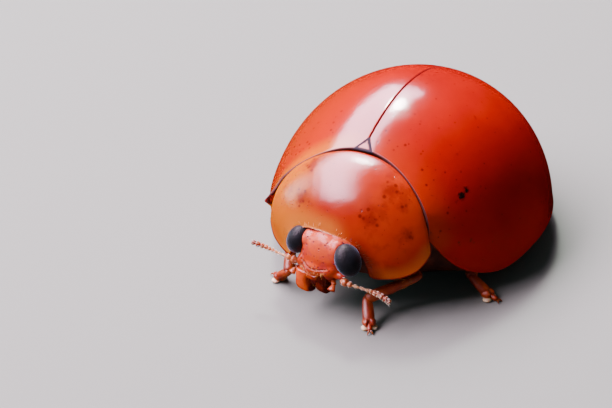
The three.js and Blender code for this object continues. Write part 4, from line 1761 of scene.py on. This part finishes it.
def lay_trunk(point):
    """The upper half follows the dome from inside, the lower half is the belly."""
    angle, lean = acos(max(-1, min(1, -point.y))), atan2(point.z, abs(point.x))
    above = max(0, lean)
    start = base_angle(above) + TRUNK_START
    angle = start + (pi - start) * angle / pi
    ridge = RIDGE["height"] * fade(pi / 2 - lean, RIDGE["half_width"])
    inset = TRUNK_ROOM["rim"] + TRUNK_ROOM["seam"] * sin(above) - ridge
    place = on_dome(angle, above, inset)
    if lean < 0:
        sunk = (place.z - BELLY_LOW) * sin(-lean) ** BELLY_POWER
        place = Vector((place.x * cos(lean) ** BELLY_POWER, place.y, place.z - sunk))
    return Vector((place.x if point.x >= 0 else -place.x, place.y, place.z))


# %% [markdown]
# The abdomen's belly plates overlap like tiles, and the thorax has a furrow down its middle and another
# across. The sphere is laid out twice and cut at the seam, and each half gets its own detail.

# %% Thorax and abdomen
SEAM_Y = 0.66
PLATE_ENDS = (1.25, 1.75, 2.2, 2.6, 2.95)
PLATE = {"width": 0.22, "depth": 0.05, "bow": 0.12, "half_width": 2.2}
FURROWS = {"along": (0.07, 0.08), "across": (0.05, 0.07)}  # how deep and how wide
CROSS_FURROW_Y = -0.62
BELOW_RIM = 0.02  # the furrows stay below the rim by this much


def tile_belly(point):
    """Each belly plate rises a little towards its hind edge, which steps down to the next."""
    step = 0
    for end in PLATE_ENDS:
        ahead = end + PLATE["bow"] * (1 - (point.x / PLATE["half_width"]) ** 2) - point.y
        if 0 <= ahead < PLATE["width"]:
            step = PLATE["depth"] * fade(ahead, PLATE["width"])
    return point - Vector((0, 0, step)) if point.z < rim_height(point.y) else point


def furrow(point):
    groove = 0
    for (depth, width), away in zip(FURROWS.values(), (abs(point.x), abs(point.y - CROSS_FURROW_Y))):
        groove += depth * fade(away, width)
    return point + Vector((0, 0, groove)) if point.z < rim_height(point.y) - BELOW_RIM else point


def trunk(name, node_name, keep_behind, detail):
    bpy.ops.mesh.primitive_uv_sphere_add(segments=96, ring_count=96, radius=1, rotation=(pi / 2, 0, 0))
    piece = called(name)
    apply_place(piece)
    reshape(piece, lay_trunk)
    weld(piece)
    sides = {"clear_inner": keep_behind, "clear_outer": not keep_behind}
    with editing(piece, "SELECT"):
        bpy.ops.mesh.bisect(plane_co=(0, SEAM_Y, 0), plane_no=(0, 1, 0), use_fill=True, **sides)
    reshape(piece, detail)
    done(piece, UNDERSIDE_BROWN_AND_SHADE, "underside", node_name)


trunk("thorax_plates", "thorax", False, furrow)
trunk("abdomen_plates", "abdomen", True, tile_belly)

# %% [markdown]
# ## Legs
# A leg has a hip on the body, a thigh that swells in the middle, a slim shin, and a foot. Where they bend
# is read from the boxes of the solids, as shares of the way along their sides.

# %% Where the legs bend
LEG_PLACES = {
    "front_left": {"knee": (0.95, 1.06, 0.78), "ankle": (0.11, 0.12, 0.27), "toe": (0.7, 0.24, 0)},
    "front_right": {"knee": (0.22, 1.02, 0.8), "ankle": (0.75, 0.11, 0.26), "toe": (0.23, 0.71, 0)},
    "middle_left": {"knee": (0.15, 0.98, 0.69), "ankle": (0.73, 0.11, 0.32), "toe": (0.82, 0.44, 0)},
    "middle_right": {"knee": (0.75, 0.97, 0.69), "ankle": (0.37, 0.14, 0.32), "toe": (0.25, 0.69, 0)},
    "hind_left": {"knee": (0.65, -0.02, 0.69), "ankle": (0.42, 0.89, 0.32), "toe": (0.64, 0.78, 0)},
    "hind_right": {"knee": (0.45, -0.02, 0.69), "ankle": (0.51, 0.89, 0.32), "toe": (0.32, 0.78, 0)},
}
HIP_ALONG = {"front": 0.5, "middle": 0.13, "hind": 0.15}  # where the thigh starts in its box
HIP_UP = 0.38


def leg_points(name):
    pair, side = name.split("_")
    inner = 0.0 if side == "left" else 1.0
    places = LEG_PLACES[name]
    return {
        "hip": inside("thigh_" + name, inner, HIP_ALONG[pair], HIP_UP),
        "knee": inside("shin_" + name, *places["knee"]),
        "ankle": inside("shin_" + name, *places["ankle"]),
        "toe": inside("foot_" + name, *places["toe"]),
    }


# %% [markdown]
# The hip is a ball with a groove round it. Thigh and shin come off the lathe, thinner from top to bottom,
# and short bristles lie along the shin.

# %% Hips, thighs and shins
THIGH = ((-0.02, 0.08), (0.06, 0.13), (0.2, 0.19), (0.5, 0.225), (0.8, 0.18), (0.95, 0.14), (1.02, 0.08))
SHIN = ((-0.03, 0.06), (0.05, 0.11), (0.15, 0.11), (0.5, 0.13), (0.8, 0.145), (0.97, 0.14), (1.02, 0.1))
FLAT = {"thigh": 0.8, "shin": 0.9, "first": 0.8, "last": 0.9}  # thickness as a share of the width
LEG_SIDES = 16
HIP_ROOM = Vector((0.02, 0.02, 0.03))
HIP_GROOVE = {"below": 0.05, "half_width": 0.03, "step": Vector((0, 0, 0.03))}
SHIN_HAIR = {"count": 110, "along": (0.15, 0.98), "radius": 0.105, "out": 0.45, "stray": 0.1}
SHIN_HAIR_SIZE = {"length": 0.07, "thickness": 0.005}
MAP_REACH = 0.9  # the part of the bake map that the shins' bristles are spread over


def shin_bristles(name, knee, ankle):
    forward = (ankle - knee).normalized()
    roots = []
    for _ in range(SHIN_HAIR["count"]):
        share, turn = chance.uniform(*SHIN_HAIR["along"]), chance.uniform(0, tau)
        out = square_to(forward, turn)
        point = knee.lerp(ankle, share) + out * SHIN_HAIR["radius"]
        heading = forward + out * SHIN_HAIR["out"] + jitter(SHIN_HAIR["stray"])
        roots.append((point, heading, SHIN_HAIR_SIZE["length"], (share * MAP_REACH, turn / tau * MAP_REACH)))
    bristles("shin_bristles_" + name, roots, SHIN_HAIR_SIZE["thickness"], BRISTLE["gold"], "limb", 0)


def limb_piece(name, start, end, outline, flat, node_name):
    piece = turned(name, start, end, outline, flat, LEG_SIDES)
    smooth(piece)
    done(piece, LIMB_ORANGE, "limb", node_name)


def hip(name):
    low, high = box_mm("hip_" + name)
    piece = ball("coxa_" + name, (low + high) / 2, (high - low) / 2 - HIP_ROOM, 24)
    groove = (low.z + high.z) / 2 - HIP_GROOVE["below"]
    near = HIP_GROOVE["half_width"]
    reshape(piece, lambda p: p + HIP_GROOVE["step"] if abs(p.z - groove) < near else p)
    smooth(piece)
    done(piece, UNDERSIDE_BROWN_AND_SHADE, "underside", "hip_" + name)


# %% [markdown]
# The foot shows three joints: a small one, a broad one whose tip is parted in two lobes, and a long thin one
# that carries two hooked claws. The broad joint is a ball, with a flat pale pad under each lobe. A claw is
# two turned hooks, the second one thinner and coming down on its tip.

# %% Parts of a foot
FIRST_JOINT = ((-0.1, 0.07), (0.0, 0.11), (0.3, 0.125), (0.85, 0.145), (1.0, 0.12), (1.04, 0.08))
CLAW_JOINT = ((0, 0.05), (0.5, 0.06), (0.9, 0.068), (1.0, 0.055), (1.03, 0.035))
HOOK_SHAPE = ((-0.05, 0.7), (0.1, 1), (0.9, 1), (1, 0.6))  # shares of the length and of the thickness
CLAW = {"ahead": 0.1, "aside": 0.07, "tip": 0.012, "knuckle": 0.55, "arch": 0.035}
HOOKS = ((0.026, 0.022), (0.022, 0.006))  # how thick each part is at its root and at its tip
LOBES = {"height": 0.16, "radii": (0.16, 0.16, 0.11), "parting": 0.06, "depth": 0.9}
PAD = {"ahead": 0.05, "aside": 0.085, "height": 0.05, "radii": (0.1, 0.11, 0.045), "sole": 0.004}


def claw(start, heading, aside):
    """A hook that leaves the foot and comes down on its tip."""
    tip = start + (heading * CLAW["ahead"] + aside * CLAW["aside"])
    tip.z = CLAW["tip"]
    knuckle = start.lerp(tip, CLAW["knuckle"]) + UP * CLAW["arch"]
    parts = []
    for a, b, (root, end) in ((start, knuckle, HOOKS[0]), (knuckle, tip, HOOKS[1])):
        outline = [(at, width * (root if at < 0.5 else end)) for at, width in HOOK_SHAPE]
        parts.append(turned("hook", a, b, outline, 1, 10))
    return parts


def part_lobes(point, centre, heading, across):
    """Parts the tip of a ball: its middle is drawn back, so that a lobe stands on each side."""
    ahead, aside = (point - centre).dot(heading), (point - centre).dot(across)
    if ahead < 0:
        return point
    return point - heading * ahead * LOBES["depth"] * fade(abs(aside), LOBES["parting"])


def pad(centre, heading, aside):
    place = centre + heading * PAD["ahead"] + aside * PAD["aside"]
    place.z = PAD["height"]
    return ball("pad", place, PAD["radii"], 20)


# %% [markdown]
# The foot is laid out along a line from ankle to toe, and the pads are flattened where they touch the
# ground.

# %% Feet
TOE = {"up": 0.075, "back": 0.06}  # where the claws leave, from the tip of the foot
LOBES_ALONG = 0.58


def foot(name, ankle, toe):
    heading = Vector((toe.x - ankle.x, toe.y - ankle.y, 0)).normalized()
    across = heading.cross(UP)
    centre = ankle.lerp(toe, LOBES_ALONG)
    centre.z = LOBES["height"]
    first = turned("first", ankle, centre, FIRST_JOINT, FLAT["first"], LEG_SIDES)
    lobes = ball("lobes", centre, LOBES["radii"], 28)
    reshape(lobes, lambda p: part_lobes(p, centre, heading, across))
    end = toe + UP * TOE["up"] - heading * TOE["back"]
    last = turned("last", centre, end, CLAW_JOINT, FLAT["last"])
    piece = join("tarsus_" + name, [first, lobes, last])
    smooth(piece)
    done(piece, LIMB_ORANGE, "limb", "foot_" + name)
    pads = join("pads_" + name, [pad(centre, heading, aside) for aside in (across, -across)])
    reshape(pads, lambda p: Vector((p.x, p.y, max(p.z, PAD["sole"]))))
    done(pads, PAD_PALE, "limb")
    hooks = join("claws_" + name, claw(end, heading, across) + claw(end, heading, -across))
    smooth(hooks)
    done(hooks, CLAW_BROWN, "limb")


def leg(name):
    at = leg_points(name)
    hip(name)
    limb_piece("femur_" + name, at["hip"], at["knee"], THIGH, FLAT["thigh"], "thigh_" + name)
    limb_piece("tibia_" + name, at["knee"], at["ankle"], SHIN, FLAT["shin"], "shin_" + name)
    shin_bristles(name, at["knee"], at["ankle"])
    foot(name, at["ankle"], at["toe"])


for name in LEG_PLACES:
    leg(name)

# %% [markdown]
# ## Bristles on the face
# Golden bristles hang from the crease above the mouth, and more stand round the jaws. A ray that is sent
# back at the face finds the skin that a bristle grows from.

# %% Face bristles
CREASE_HAIR = {"count": 34, "across": (-0.39, 0.39), "off": (-0.12, 0.05), "length": (0.06, 0.13)}
JAW_HAIR = {"count": 50, "x": (-0.14, 0.34), "y": (0, 0.12), "z": (0, 0.14), "length": (0.06, 0.11)}
JAW_HAIR_FROM = Vector((0, -0.34, -0.7))
FACE_STRAY = 0.3
HANG = {"aside": 0.5, "down": 0.8, "out": 0.35}
JAW_HANG = {"aside": 0.3, "ahead": 0.4, "down": 0.9}
FACE_HAIR_THICKNESS = 0.0036


def on_face(x, z):
    """The place on the front of the skull at this width and height, and its normal."""
    origin, heading = ON_HEAD @ Vector((x, -2, z)), TO_HEAD @ Vector((0, 1, 0))
    found, place, normal, _ = bpy.data.objects["head_capsule"].ray_cast(origin * MM, heading)
    return (place / MM, normal) if found else (ON_HEAD @ Vector((x, -0.4, z)), -heading)


def face_bristles():
    roots = []
    for _ in range(CREASE_HAIR["count"]):
        across = chance.uniform(*CREASE_HAIR["across"])
        z = crease_height(across) + chance.uniform(*CREASE_HAIR["off"])
        point, normal = on_face(across - leaning(z), z)
        down = TO_HEAD @ Vector((across * HANG["aside"], 0, -HANG["down"])) + normal * HANG["out"]
        down += jitter(FACE_STRAY)
        roots.append((point, down, chance.uniform(*CREASE_HAIR["length"]), (across + 0.5, 0.2)))
    for _ in range(JAW_HAIR["count"]):
        place = JAW_HAIR_FROM + Vector(chance.uniform(*JAW_HAIR[axis]) for axis in "xyz")
        down = Vector((place.x * JAW_HANG["aside"], -JAW_HANG["ahead"], -JAW_HANG["down"]))
        down = TO_HEAD @ (down + jitter(FACE_STRAY))
        length = chance.uniform(*JAW_HAIR["length"])
        roots.append((ON_HEAD @ lean_aside(place), down, length, (place.x + 0.5, 0.6)))
    bristles("face_bristles", roots, FACE_HAIR_THICKNESS, BRISTLE["gold"], "head")


face_bristles()

# %% [markdown]
# A band of short bristles follows the arch of the shield. Beside the left eye, on the shaded side, they are
# brown and dense, a brown that is painted shade, and elsewhere gold, with two in three left out.

# %% Shield bristles
FRINGE = {"count": 170, "thickness": 0.0045, "bend": 0.1, "brown_from": 0.3, "gold_every": 3}
FRINGE_BAND = (0.03, 0.22)  # how far from the arch
FRINGE_LENGTH = (0.05, 0.09)
FRINGE_CENTRE_Z = 1.5  # they point to the middle of the head
FRINGE_UP, FRINGE_STRAY = 0.5, 0.2


def shield_bristles():
    arch = [p for p in front_line if abs(p.x - ARCH["x"]) < ARCH["half_width"] + 0.1]
    kinds = {"gold": [], "shade_brown": []}
    for step in range(FRINGE["count"]):
        at = chance.randrange(len(arch) - 1)
        point = arch[at].lerp(arch[at + 1], chance.random())
        out = (point - Vector((ARCH["x"], point.y, FRINGE_CENTRE_Z))).normalized()
        root = egg(point + out * chance.uniform(*FRINGE_BAND))
        normal = (root - SHIELD).normalized()
        length = chance.uniform(*FRINGE_LENGTH)
        kind = "shade_brown" if point.x > FRINGE["brown_from"] else "gold"
        if kind == "shade_brown" or step % FRINGE["gold_every"] == 0:
            heading = normal * FRINGE_UP - out + jitter(FRINGE_STRAY)
            kinds[kind].append((root, heading, length, (at / len(arch), 0.5)))
    for name, kind in (("shield_bristles", "gold"), ("eye_fringe", "shade_brown")):
        bristles(name, kinds[kind], FRINGE["thickness"], BRISTLE[kind], "pronotum", FRINGE["bend"])


shield_bristles()
